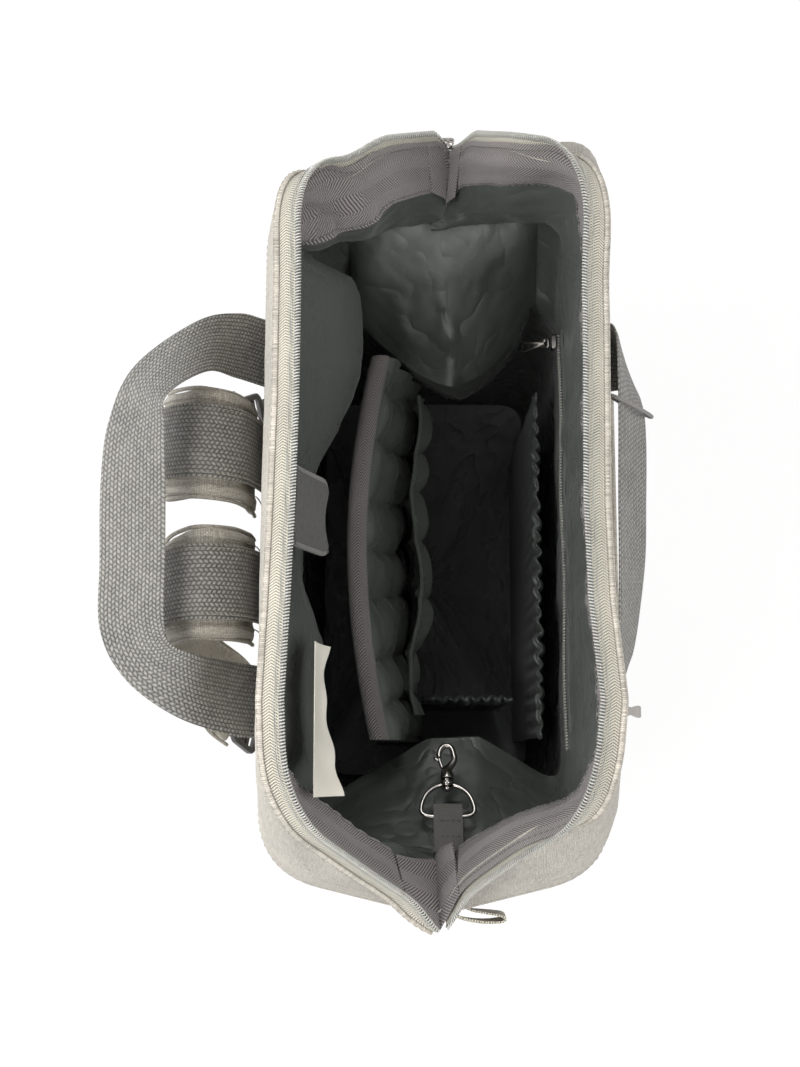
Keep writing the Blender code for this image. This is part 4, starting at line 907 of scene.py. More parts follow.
def lining_low():
    """The lining below the fold; returns its topmost row."""
    zs = np.concatenate([np.linspace(0.0085, 0.2, 26), np.linspace(0.2, 0.2997, 26)[1:]])
    P, inward = tongue(np.array([lining_loop(z) for z in zs]))
    N = facing(normals(P, True), np.s_[10, :8], 0)
    x, y, z = P[..., 0], P[..., 1], P[..., 2]
    wall = smooth((z - 0.02) / 0.05)
    loose = 0.0016 * noisy(P * [1, 1, 0.3], 30, 4) + 0.0008 * noisy(P * [1, 1, 0.5], 90, 9)
    pouch = smooth(inward / 0.02)
    fan = np.arctan2(y + 0.004, 0.175 - x)
    reach = np.hypot(np.hypot(0.150 - x, y + 0.004), 0.290 - z)
    ridge = np.abs(np.sin(fan * 2.4 + 0.35 + 0.35 * noisy(P, 11, 8))) ** 0.7 - 0.6
    right = 0.0105 * smooth(reach / 0.05) * ridge
    right = right + 0.0034 * noisy(P * [1, 1, 0.6], 16, 12) + 0.0008 * noisy(P, 60, 5)
    spread = np.arctan2(y + 0.0075, x + 0.196)
    creases = np.abs(np.sin(spread * 2.6 + 0.9 + 0.6 * noisy(P, 18, 21))) ** 0.8 - 0.6
    left = 0.0044 * creases * smooth((z - 0.262) / 0.03) + 0.0012 * noisy(P, 22, 5)
    folds = np.where(x > 0, right, left)
    P = P + N * ((loose - 0.0012) * wall * (1 - pouch) + (folds - 0.002) * pouch)[..., None]
    base = []
    for scale in (0.02, 0.45, 0.8, 0.97):
        ring = lining_loop(0.0085) * [scale, scale, 1]
        ring[:, 2] = 0.0072 + 0.0006 * noisy(ring, 40, 2)
        base.append(ring)
    whole = np.concatenate([np.array(base), P])
    N = facing(normals(whole, True), np.s_[14, :8], 0)
    turned = [np.roll(A, -(A.shape[1] * 3 // 4), 1) for A in (whole, N)]
    whole, N = [np.concatenate([A, A[:, :1]], 1) for A in turned]
    uv = np.stack(np.meshgrid(lengths(whole[4]), lengths(whole[:, 30])), -1)
    skin("lining_low", whole, N, "lining", "bag", "lining_bag", uv, thick=LINING)
    return P[-1]


def lining_high(top):
    """The lining from the fold to the bindings, shaped to meet the open mouth."""
    line, _ = rim_line(counts=(20, 8, 30))
    share = lengths(line) / lengths(line)[-1]
    count = len(line)
    for side, word, mouth in SIDES:
        low = top[:count] if side > 0 else np.vstack([top[count - 1 :], top[:1]])[::-1]
        hem = HEMS[side]
        high = sampled(share, hem[:, 0], hem[:, 1:])
        high[[0, -1], 1] = 0
        rows, t = between(low, high, 24)
        N = facing(normals(rows), np.s_[10, 40:60], 1, -side)
        x = rows[..., 0]
        loose = np.sin(np.pi * t)
        near_end = smooth((np.abs(x) - 0.12) / 0.04)
        fold = 0.0022 * noisy(rows * [1, 1, 0.25], 30, 6 + side) + 0.0010 * noisy(rows * [1, 1, 0.4], 80, 2)
        fold = fold - near_end * 0.002 * np.abs(noisy(rows, 60, 15))
        rows = rows + N * (fold * loose * (0.6 + near_end * 0.6))[..., None]
        rows[..., 0] -= 0.010 * loose * near_end * (x > 0)
        names = [f"lining_top_{word}"] + (["lining_top_left", "lining_top_right"] if side > 0 else [])
        uv = grid_uv(rows) + [0, 0.3]
        bend(skin(f"lining_high_{word}", rows, N, "lining", None, (), uv, thick=LINING), mouth, names)


lining_high(lining_low())


# Things inside
def gather_wall(name, start, end, top, replaces, waves):
    """A pocket wall shirred by elastic along its top."""
    floor = FLOOR + 0.001
    start, end = np.array(start), np.array(end)
    length = np.linalg.norm(end - start)
    run = (end - start) / length
    out = np.array([-run[1], run[0], 0])
    S, T = np.meshgrid(np.linspace(0, 1, waves * 8 + 1), np.linspace(0, 1, 30))
    P = start + run * (S * length)[..., None]
    P[..., 2] = floor + (top - floor) * T
    near = smooth((T - 0.45) / 0.5)
    phase = S * waves * 2 * math.pi + 2.2 * noisy(P * [1, 1, 0.1], 30, 3)
    wave = 0.0022 * np.sin(phase) * near * (0.6 + 0.5 * noisy(P * [1, 1, 0.2], 50, 6))
    wave = wave + 0.003 * noisy(P * [1, 1, 0.5], 16, 9) * np.sin(np.pi * T)
    wave = wave * np.sin(np.pi * np.clip(S, 0.01, 0.99)) ** 0.3
    P = P + out * wave[..., None]
    P[..., 2] += 0.0016 * np.sin(phase + 1) * smooth((T - 0.9) / 0.1)
    obj = sheet(name, P, 0.0009, "pocket_lining", "bag", replaces)
    hem = resample(P[-2] - [0, 0, 0.001], step=0.0016)
    tube(name + "_hem", hem, 0.0017, "pocket_lining", "bag", flat=1.6)
    return obj


def inner_pockets():
    start, end = (-0.118, -0.066, 0), (0.094, -0.066, 0)
    front = gather_wall("pocket_wall_front", start, end, 0.224, "gathered_pocket_front", 22)
    start, end = (-0.094, -0.052, 0), (-0.094, 0.004, 0)
    end = gather_wall("pocket_wall_end", start, end, 0.189, "gathered_pocket_end", 8)


inner_pockets()


def quilted(X, Z, seed):
    """How far quilted cloth stands off its flat line, with creases at the seams."""
    seams = Z / 0.027 + 0.10 * np.sin(X * 38 + seed) + 0.06 * noisy_line(X, 40, seed)
    puffed = np.abs(np.sin(seams * math.pi)) ** 0.55
    flat = np.stack([X, Z * 0.35, X * 0], -1)
    shirr = np.abs(np.sin((X / 0.031 + 0.35 * noisy(flat, 22, seed + 2) + Z * 5) * math.pi)) ** 0.6
    creases = 0.0022 * (1 - puffed) * noisy(flat, 130, seed + 4)
    return 0.0060 * puffed + 0.0058 * (shirr - 0.5) + creases + 0.0034 * noisy(flat, 24, seed + 7)


def sleeve():
    """The padded sleeve, quilted in rows, its twill edge and the slip pocket."""
    xs = np.linspace(-0.120, 0.104, 150)
    X, Z = np.meshgrid(xs, np.linspace(FLOOR + 0.0012, 0.271, 120))
    bowed = 0.0300 + 0.0135 * np.sin(np.pi * (X + 0.120) / 0.224) ** 0.9
    thin = np.clip((0.2712 - Z) / 0.006, 0.2, 1)
    lean = 0.0175 * smooth((0.268 - Z) / 0.085)
    front = np.stack([X, bowed - 0.002 - (quilted(X, Z, 2.0) * thin + lean), Z], -1)
    uneven = 0.0015 * noisy(np.stack([X, Z, X * 0], -1), 30, 3)
    back = np.stack([X, bowed + 0.003 * thin + uneven, Z], -1)
    obj = two_layers("sleeve_pad", front, back, "pad_lining", np.stack([X, Z], -1))
    place(obj, "bag", "sleeve_panel")
    top = np.stack([xs, bowed[-1], 0.2712 + 0.0012 * np.sin(xs * 31)], 1)
    ring = [(-0.0052, -0.0135), (-0.0056, -0.0132), (-0.0058, -0.004), (-0.0048, -0.0006)]
    ring += [(-0.0018, 0.0016), (0.0018, 0.0016), (0.0048, -0.0006), (0.0058, -0.004)]
    ring += [(0.0056, -0.0132), (0.0052, -0.0135), (0.0044, -0.003), (-0.0044, -0.003)]
    rings = np.stack([top + [0, y, z] for y, z in ring], 1)
    uv = [[(a, v) for v in np.linspace(0, 0.034, len(ring))] for a in lengths(top)]
    loft("sleeve_edge", rings, "binding", "bag", "sleeve_binding", uv=uv)
    line = top + [0, -0.0059, -0.0105]
    stitches("sleeve_edge_stitch", line, (0, -1, 0), "bag", "dark_thread", "binding", 0.0036)
    X, T = np.meshgrid(np.linspace(-0.105, 0.089, 140), np.linspace(0, 1, 90))
    Z = FLOOR + 0.001 + (0.234 - FLOOR) * T
    Y = 0.024 + (0.010 - 0.024) * T + 0.0030 * np.sin(X * 60) * T
    Y = Y - quilted(X, Z, 5.0) * np.clip((1.0 - T) / 0.03, 0.2, 1) * T
    P = np.stack([X, Y, Z + 0.003 * noisy_line(X, 14, 5) * T], -1)
    slip = sheet("slip_pocket_cloth", P, 0.0011, "pad_lining", "bag", "slip_pocket")
    hem = resample(P[-1] - [0, 0, 0.0006], step=0.002)
    tube("slip_pocket_hem", hem, 0.0013, "pad_lining", "bag", flat=1.8)


sleeve()


# Rim fittings
def frame_axes(origin, x_axis, z_axis):
    """Origin with rows of unit axes; X and Z run as given, as near as square lets Z."""
    x = unit(np.asarray(x_axis, float))
    y = unit(np.cross(z_axis, x))
    return np.asarray(origin, float), np.array([x, y, np.cross(x, y)])


def within(axes, points):
    origin, turn = axes
    return origin + np.asarray(points, float) @ turn


def rounded(x0, x1, y0, y1, r, steps=5):
    """A rounded rectangle, counter-clockwise."""
    out = []
    corners = ((x1 - r, y1 - r, 0), (x0 + r, y1 - r, 90), (x0 + r, y0 + r, 180), (x1 - r, y0 + r, 270))
    for cx, cy, start in corners:
        for k in range(steps + 1):
            a = math.radians(start + 90 * k / steps)
            out.append((cx + r * math.cos(a), cy + r * math.sin(a)))
    return out


SLIDER_SECTION = arr(
    (1, -0.6), (1, -0.2), (0.86, -0.1), (0.86, 0.1), (1, 0.2), (1, 0.62),
    (0.82, 0.86), (0.35, 1), (-0.35, 1), (-0.82, 0.86), (-1, 0.62), (-1, 0.2),
    (-0.86, 0.1), (-0.86, -0.1), (-1, -0.2), (-1, -0.6), (-0.8, -1), (0.8, -1),
)


def slider_body(name, size, axes, body, replaces):
    """A zip slider: two plates that widen to its nose, a neck, and a bridge on top."""
    length, width, thick = size
    rows = []
    for t in np.linspace(-1, 1, 13):
        taper = max(0, abs(t) - 0.8) / 0.2
        wide = width / 2 * (0.78 + 0.22 * smooth((t + 1) / 1.2)) * (1 - 0.35 * taper)
        section = SLIDER_SECTION * [wide, thick / 2 * (1 - 0.4 * taper)]
        rows.append(within(axes, np.column_stack([np.full(len(section), t * length / 2), section])))
    return loft(name, rows, "dark_metal", body, replaces)


def angles(P, centre):
    step = P - np.asarray(centre)
    return np.arctan2(step[:, 1], step[:, 0])


def puller_plate(name, length, width, thick, axes, body):
    """A waisted plate with an eye at its head and rounded edges, in the place of its body's puller."""
    profile = ((0, 0.62), (0.06, 0.92), (0.16, 1.0), (0.3, 0.72))
    profile += ((0.5, 0.66), (0.72, 0.9), (0.9, 1.0), (0.985, 0.8))
    outline = curve([(t * length, w * width / 2) for t, w in profile], 4)
    outline = np.vstack([outline, (outline * [1, -1])[::-1]])
    outline = outline[np.argsort(angles(outline, [length * 0.5, 0]))]
    start = length * 0.035
    eye = rounded(start, start + width * 0.42, -width * 0.22, width * 0.22, width * 0.14)
    eye = np.asarray(eye)
    eye_angle = angles(eye, eye.mean(0))
    eye = eye[np.argsort(eye_angle)]
    angle = angles(outline, [start + width * 0.21, 0])
    hole = [np.interp(angle, np.sort(eye_angle), eye[:, k], period=2 * math.pi) for k in (0, 1)]
    rings = []
    for edge, way, turn in ((outline, -1, 1), (np.stack(hole, 1), 1, -1)):
        for shrink, z in ((0.0004, -1), (0.0, -0.55), (0.0, 0.55), (0.0004, 1)):
            moved = edge + unit(edge - edge.mean(0)) * shrink * way
            rings.append(within(axes, np.column_stack([moved, np.full(len(edge), z * turn * thick / 2)])))
    return loft(name, rings, "dark_metal", body, body, closed=True)


def main_slider():
    leg = unit(arr((TIP_X - RIM_X, 0, -RIM_RISE))[0])
    outward = np.array([-leg[2], 0, leg[0]])
    centre = np.array([TIP_X - 0.0030, -0.0085, TIP_Z]) + leg * (0.0045 - 0.0026) + outward * 0.0024
    axes = frame_axes(centre, leg, outward)
    slider_body("main_slider_body", (0.009, 0.0075, 0.0045), axes, "bag", "main_slider")
    pivot = centre + outward * (0.00225 + GAP + 0.0008) + leg * 0.0045
    hang = frame_axes(pivot, (0.19, 0, -1), (1, 0, 0.19))
    puller_plate("main_puller_plate", 0.030, 0.008, 0.0016, hang, "main_puller")
    loop = [(-0.004, 0, 0.0018), (-0.002, 0, 0.0034), (0.002, 0, 0.0036), (0.0044, 0, 0.0026)]
    tube("main_slider_bridge", curve(within(axes, loop), 5), 0.0006, "dark_metal", "bag")


main_slider()


def flat_zip(word, axes, half, count, width, base, wave, coil_height, pitch, finish):
    """A straight zip's tape, waved by a size and a rate, and its coil wound of one filament."""
    xs = np.linspace(-half, half, count)
    height = base + wave[0] * np.sin(xs * wave[1])
    rows = [np.column_stack([xs, np.full(count, y), height]) for y in np.linspace(-width, width, 9)]
    P = np.array([within(axes, r) for r in rows])
    sheet(f"{word}_zip_cloth", P, 0.0008, finish, "bag", f"{word}_zip_tape")
    a = np.arange(0, 2 * half / pitch * 9) / 9 * 2 * math.pi
    x = a / (2 * math.pi) * pitch - half
    height = coil_height + 0.0006 * np.sin(a) + wave[0] * np.sin(x * wave[1])
    P = np.column_stack([x, 0.0017 * np.cos(a), height])
    tube(f"{word}_zip_filament", within(axes, P), 0.0005, "coil", "bag", f"{word}_zip_coil", sides=5)


def inner_zip():
    """The zip of the pocket in the front lining."""
    low, high = 0.275, 0.297
    down = unit(np.array([0, lining_row(low)[2][1] - lining_row(high)[2][1], low - high]))
    face = np.array([0, -down[2], down[1]])
    wall = lining_row(0.286)[2][1] + 0.0008 + GAP
    axes = frame_axes((-0.007, wall, 0.286), (1, 0, 0), face)
    half = 0.119
    lift = 0.0004 + GAP
    flat_zip("inner", axes, half, 120, 0.011, lift, (0.0005, 60), lift + 0.0013, 0.0017, "pocket_lining")
    lift += 0.0004 + GAP + 0.0018 + GAP + 0.0016
    centre, pivot = within(axes, [(half - 0.0045, 0, lift), (half - 0.0045, 0, lift + 0.0016 + 3 * GAP)])
    slide = frame_axes(centre, (1, 0, 0), face)
    slider_body("inner_slider_body", (0.009, 0.008, 0.0032), slide, "inner_slider", "inner_slider")
    hang = frame_axes(pivot, (0, 1, -0.7), (0, 0.7, 1))
    puller_plate("inner_puller_plate", 0.018, 0.006, 0.0014, hang, "inner_puller")


inner_zip()


def hanging_rows(top, drops, steps):
    """A smooth line that hangs from a point, with each point's share of the way down."""
    path = curve([top - [0, dy, dz] for dy, dz in drops], steps)
    return list(zip(path, np.arange(len(path)) / (len(path) - 1)))


def hangings():
    """The hook-and-loop tab and the blank care label under the back rim."""
    across = binding_point(BIND_W * 0.55, 0.0009 + GAP + 0.0008)[0]
    top = mirror(opened(0, -across, RIM_RISE - binding_point(0.0154, 0.002)[1]), y=-1)
    rows = []
    for p, t in hanging_rows(top, ((0, 0), (0.003, 0.014), (0.008, 0.032), (0.013, 0.050)), 10):
        half = 0.020 - 0.006 * max(0.0, (t - 0.78) / 0.22) ** 2.5
        xs = np.linspace(-half, half, 18)
        curl = 0.0022 * t * (xs / 0.02) ** 2 + 0.0005 * np.sin(xs * 160 + 5 * t)
        rows.append(np.column_stack([xs - 0.009, p[1] - curl, p[2] + 0.001 * t * np.sin(xs * 90)]))
    P = np.array(rows)
    obj = sheet("closure_tab_cloth", P, 0.0017, "tab", "closure_tab", "closure_tab")
    sheet("closure_tab_hooks", P[1:-1, 1:-1] + [0, -0.0012, 0], 0.0008, "felt", "closure_tab")
    for row, word in ((2, "high"), (-3, "low")):
        line = resample(P[row] + [0, -0.0011, 0], step=0.002)
        web_stitches(f"closure_stitch_{word}", line, (0, -1, 0), "closure_tab", 0.0034, "dark_thread")
    across, depth = binding_point(BIND_W * 0.9, 0.0009 + 0.0022)
    top = mirror(opened(0, -across, RIM_RISE - depth), y=-1)
    rows = []
    xs = np.linspace(-0.037, 0.037, 44)
    u = xs / 0.037
    for p, t in hanging_rows(top, ((0, 0), (0.001, 0.0119), (0.003, 0.0238), (0.006, 0.034)), 12):
        ripple = 0.0030 * np.sin(u * 2.3 + 0.5) * t + 0.0008 * np.sin(u * 9 + 2) * t
        curl = 0.0040 * smooth((-u - 0.55) / 0.45) * t
        z = p[2] + curl * 1.2 + 0.0012 * t * np.sin(u * 3)
        rows.append(np.column_stack([xs - 0.112, p[1] - 0.0095 + ripple - curl, z]))
    obj = sheet("care_label_ribbon", np.array(rows), 0.0004, "label", "care_label", "care_label")


hangings()


# Key clip
def key_clip():
    """A tab on the left fold, with a ring, a swivel collar and a snap hook."""
    high, low = arr((0.0052 - 0.180, -0.0075, 0.300), (-0.0075 / 2 - 0.108, -0.0075, 0.240))
    slope = unit(low - high)
    lifted = np.array(Matrix.Rotation(-math.radians(14), 3, "Y") @ Vector(slope))
    axes = frame_axes(high + slope * 0.0018, lifted, (0, 0, 1))
    wire = 0.0012
    eye = np.array([0.0115, 0, 0.0016 + 0.0011 + wire + GAP])
    reach = wire + GAP + 0.00055
    tip = eye + [0.0055, 0, -0.0004]
    path = [(-0.011, 0, eye[2] + 0.0010), (0, 0, eye[2] - reach), (0.007, 0, eye[2] - reach)]
    for a in np.radians(range(-90, 91, 30)):
        path.append(tuple(tip + [math.cos(a) * 0.0014, 0, math.sin(a) * 0.0018]))
    path += [(0.0115, 0, eye[2] + reach), (0.004, 0, eye[2] + reach * 0.9), (-0.011, 0, eye[2] + 0.0028)]
    ys = np.linspace(-0.00775, 0.00775, 9)
    cup = 0.0004 * (ys / 0.00775) ** 2
    rows = [within(axes, np.column_stack([np.full(9, p[0]), ys, p[2] - cup])) for p in curve(path, 5)]
    sheet("key_tab_cloth", np.array(rows), 0.0010, "tab", "bag", "key_tab")
    rows = (("175", 0.0075, eye[2] + reach + 0.0004), ("80", -0.002, eye[2] + reach * 0.95 + 0.0006))
    for word, x, z in rows:
        ends = resample(within(axes, [(x, -0.0066, z), (x, 0.0066, z)]), step=0.001)
        web_stitches(f"key_tab_stitch_{word}", ends, axes[1][2], "bag", 0.003, "dark_thread")
    half, depth, corner = 0.0145, 0.0185, 0.0037
    plan = [(0, -half + corner), (0, 0), (0, half - corner), (corner, half), (depth * 0.7, half * 0.8)]
    plan += [(depth, half * 0.3), (depth, -half * 0.3), (depth * 0.7, -half * 0.8), (corner, -half)]
    ring = curve([(x, y, 0) for x, y in plan + plan[:3]], 8)[8 : 8 + 8 * len(plan)]
    ring = within(axes, eye + ring)
    tube("key_ring_wire", ring, wire, "dark_metal", "key_ring", "key_ring", sides=12, closed=True)
    start = depth - wire
    shape = ((0, 0.0016), (0, 0.0033), (0.0005, 0.0037), (0.0012, 0.0033), (0.0018, 0.0037), (0.0026, 0.0037))
    shape += ((0.0032, 0.0033), (0.0036, 0.0036), (0.004, 0.0030), (0.004, 0.0017))
    a = np.linspace(0, 2 * math.pi, 20, endpoint=False)
    turned = [np.column_stack([np.full(20, start + x), np.cos(a) * r, np.sin(a) * r]) for x, r in shape]
    turned = within(axes, eye + np.array(turned))
    loft("key_ring_collar", turned, "dark_metal", "key_ring", closed=True)
    start += 0.004
    turn = 0.0041
    keys = [(-0.0062, 0), (-0.0052, 0), (-0.0050, 0), (0.0002, 0), (0.0004, 0), (0.0028, 0), (0.006, 0)]
    radii = [0.0020, 0.0026, 0.0014, 0.0014, 0.0036, 0.0037, 0.0029]
    keys += [(0.009, -turn * 0.5), (0.0125, -turn), (0.0154, -turn), (0.02046, -turn * 0.65), (0.022, 0)]
    keys += [(0.02046, turn * 0.65), (0.01716, turn), (0.01452, turn)]
    radii += [0.0021, 0.0018, 0.0017, 0.0016, 0.0016, 0.0016, 0.0015, 0.0013]
    line = curve([(x, y, 0, r) for (x, y), r in zip(keys, radii)], 5)
    points = within(axes, eye + [start + GAP, 0, 0] + line[:, :3])
    tube("snap_hook_body", points, line[:, 3], "dark_metal", "snap_hook", "snap_hook", sides=14)
    gate = curve([(0.0082, turn * 0.62, 0), (0.0115, turn * 0.88, 0), (0.01364, turn, 0)], 6)
    points = within(axes, eye + [start, 0, 0] + gate)
    tube("snap_gate_lever", points, 0.00105, "dark_metal", "snap_gate", "snap_gate", sides=10)
    rise = [(start + 0.0125 + d * 0.6, turn * 0.95 + d, 0) for d in (0.0004, 0.0012, 0.0024, 0.0034)]
    thumb = within(axes, eye + rise)
    tube("snap_gate_thumb", thumb, [0.0008, 0.0009, 0.0011, 0.0006], "dark_metal", "snap_gate", sides=10)


key_clip()


# Handles
SEAT = HALF_Y + 0.0009 + GAP
BACK_HANDLE = (
    ((0.120, SEAT, 0.290), (0.080, SEAT, 0.290)),
    ((0.118, 0.1100, 0.308), (0.079, 0.1100, 0.313)),
    ((0.107, 0.1300, 0.328), (0.074, 0.1220, 0.344)),
    ((0.077, 0.1600, 0.345), (0.054, 0.1390, 0.369)),
    ((0.047, 0.1730, 0.345), (0.037, 0.1400, 0.366)),
    ((0.014, 0.1770, 0.342), (0.010, 0.1400, 0.359)),
    ((-0.027, 0.1770, 0.338), (-0.029, 0.1400, 0.354)),
    ((-0.064, 0.1760, 0.336), (-0.060, 0.1400, 0.352)),
    ((-0.090, 0.1620, 0.334), (-0.073, 0.1360, 0.351)),
    ((-0.109, 0.1360, 0.328), (-0.078, 0.1220, 0.344)),
    ((-0.118, 0.1100, 0.308), (-0.079, 0.1100, 0.313)),
    ((-0.120, SEAT, 0.290), (-0.080, SEAT, 0.290)),
)
FRONT_HANDLE = (
    ((0.118, -SEAT, 0.276), (0.078, -SEAT, 0.276)),
    ((0.116, -0.0990, 0.298), (0.077, -0.1010, 0.290)),
    ((0.102, -0.1000, 0.328), (0.074, -0.1120, 0.303)),
    ((0.076, -0.0980, 0.346), (0.062, -0.1160, 0.314)),
    ((0.044, -0.0970, 0.350), (0.041, -0.1170, 0.316)),
    ((0.006, -0.0960, 0.350), (0.006, -0.1160, 0.316)),
    ((-0.024, -0.0955, 0.350), (-0.022, -0.1150, 0.315)),
    ((-0.056, -0.0950, 0.348), (-0.048, -0.1120, 0.313)),
    ((-0.086, -0.0950, 0.342), (-0.070, -0.1090, 0.307)),
    ((-0.108, -0.0970, 0.322), (-0.078, -0.1060, 0.298)),
    ((-0.119, -0.0985, 0.297), (-0.080, -0.0995, 0.290)),
    ((-0.120, -SEAT, 0.276), (-0.080, -SEAT, 0.276)),
)


def sewn_patch(name, x, side, top, bottom, width):
    """A webbing end sewn flat on the wall, with a boxed cross of stitches."""
    zs = np.linspace(top, bottom, 16)
    wall = np.array([wall_y(x, z, side) for z in zs])
    y = side * (np.maximum(wall, wall.max() - 0.0012) + 0.0012)
    E1, E2 = (np.column_stack([np.full(16, x + end * width / 2), y, zs]) for end in (-1, 1))
    ribbon(name, E1, E2, 0.0018, "bag")
    out = side * 0.0011
    inset = np.array([0.003, 0, 0])
    a, b, c, d = E1[2] + inset, E2[2] - inset, E2[-3] - inset, E1[-3] + inset
    box = np.array([a, b, c, d, a, c]) + [0, out, 0]
    line = np.vstack([resample(np.array([p, q]), 12) for p, q in zip(box, box[1:])])
    web_stitches(name + "_box", line, (0, side, 0), "bag")
    cross = np.array([b, d]) + [0, out * 1.2, 0]
    web_stitches(name + "_cross", resample(cross, 12), (0, side, 0), "bag")


def handles():
    for name, keys, side in (("back_handle", BACK_HANDLE, 1), ("front_handle", FRONT_HANDLE, -1)):
        E1, E2 = (curve([k[i] for k in keys], 12) for i in (0, 1))
        ribbon(name + "_band", E1, E2, 0.0019, name, name, cells=14, cup=0.0006)
        top = keys[0][0][2] - 0.0012
        for word, (outer, inner) in (("right", keys[0]), ("left", keys[-1])):
            x = 0.5 * (outer[0] + inner[0])
            sewn_patch(f"{name}_end_{word}", x, side, top, top - 0.042, 0.040)


handles()


def elastic_loop():
    lean = unit(np.array([0, -0.020, -0.034]))
    off = np.array([0, -lean[2], lean[1]])
    a = np.linspace(0, 2 * math.pi, 61)[:-1] - 0.02
    P = np.array([0.058, -0.107, 0.331]) + np.outer(np.cos(a), lean) * 0.024
    P += np.outer(np.sin(a), off) * 0.0075
    P[:, 0] += 0.004 * np.sin(a)
    obj = tube("elastic_loop", P, 0.0011, "elastic", "front_handle", "elastic_cord")


elastic_loop()


# Shoulder straps
LIFT = 0.0060
STRAP_SEAT = HALF_Y + LIFT + 0.0009 + GAP
STRAP = (
    (0.0370, STRAP_SEAT, 0.276),
    (0.0371, STRAP_SEAT, 0.288),
    (0.0372, STRAP_SEAT + 0.0012, 0.301),
    (0.0376, STRAP_SEAT + 0.0085, 0.322),
    (0.0385, 0.1290, 0.330),
    (0.0420, 0.1470, 0.306),
    (0.0500, 0.1520, 0.262),
    (0.0640, 0.1500, 0.200),
    (0.0790, 0.1440, 0.143),
    (0.0940, 0.1285, 0.112),
)


def strap_lines(side):
    """Centre line, run, across and outward axes of a strap."""
    path = mirror(curve(STRAP, 12), x=side)
    run = unit(np.gradient(path, axis=0))
    across = unit(np.array([1.0, 0, 0]) - run * run[:, :1])
    return path, run, across, np.cross(across, run)


def puff(obj, cap, pressure):
    """Swells a closed mesh as stuffed cloth, with no point moving past the cap."""
    rest = points_of(obj)
    cloth = obj.modifiers.new("cloth", "CLOTH")
    cloth.settings.use_pressure = True
    cloth.settings.uniform_pressure_force = pressure
    cloth.settings.effector_weights.gravity = 0
    cloth.settings.tension_stiffness = 20
    cloth.settings.quality = 6
    cloth.point_cache.frame_start, cloth.point_cache.frame_end = 1, 20
    for number in range(1, 21):
        bpy.context.scene.frame_set(number)
    bake(obj)
    step = points_of(obj) - rest
    length = np.linalg.norm(step, axis=1, keepdims=True)
    moved = rest + step * np.minimum(1, cap / np.maximum(length, 1e-9))
    obj.data.vertices.foreach_set("co", moved.ravel())
    bpy.context.scene.frame_set(1)
    smoother = obj.modifiers.new("smoother", "SUBSURF")
    smoother.levels = smoother.render_levels = 1
    bake(obj)
    obj.data.shade_smooth()


def bake(obj):
    """Makes an object's modifiers part of its mesh."""
    graph = bpy.context.evaluated_depsgraph_get()
    graph.update()
    mesh = bpy.data.meshes.new_from_object(obj.evaluated_get(graph))
    obj.modifiers.clear()
    obj.data = mesh


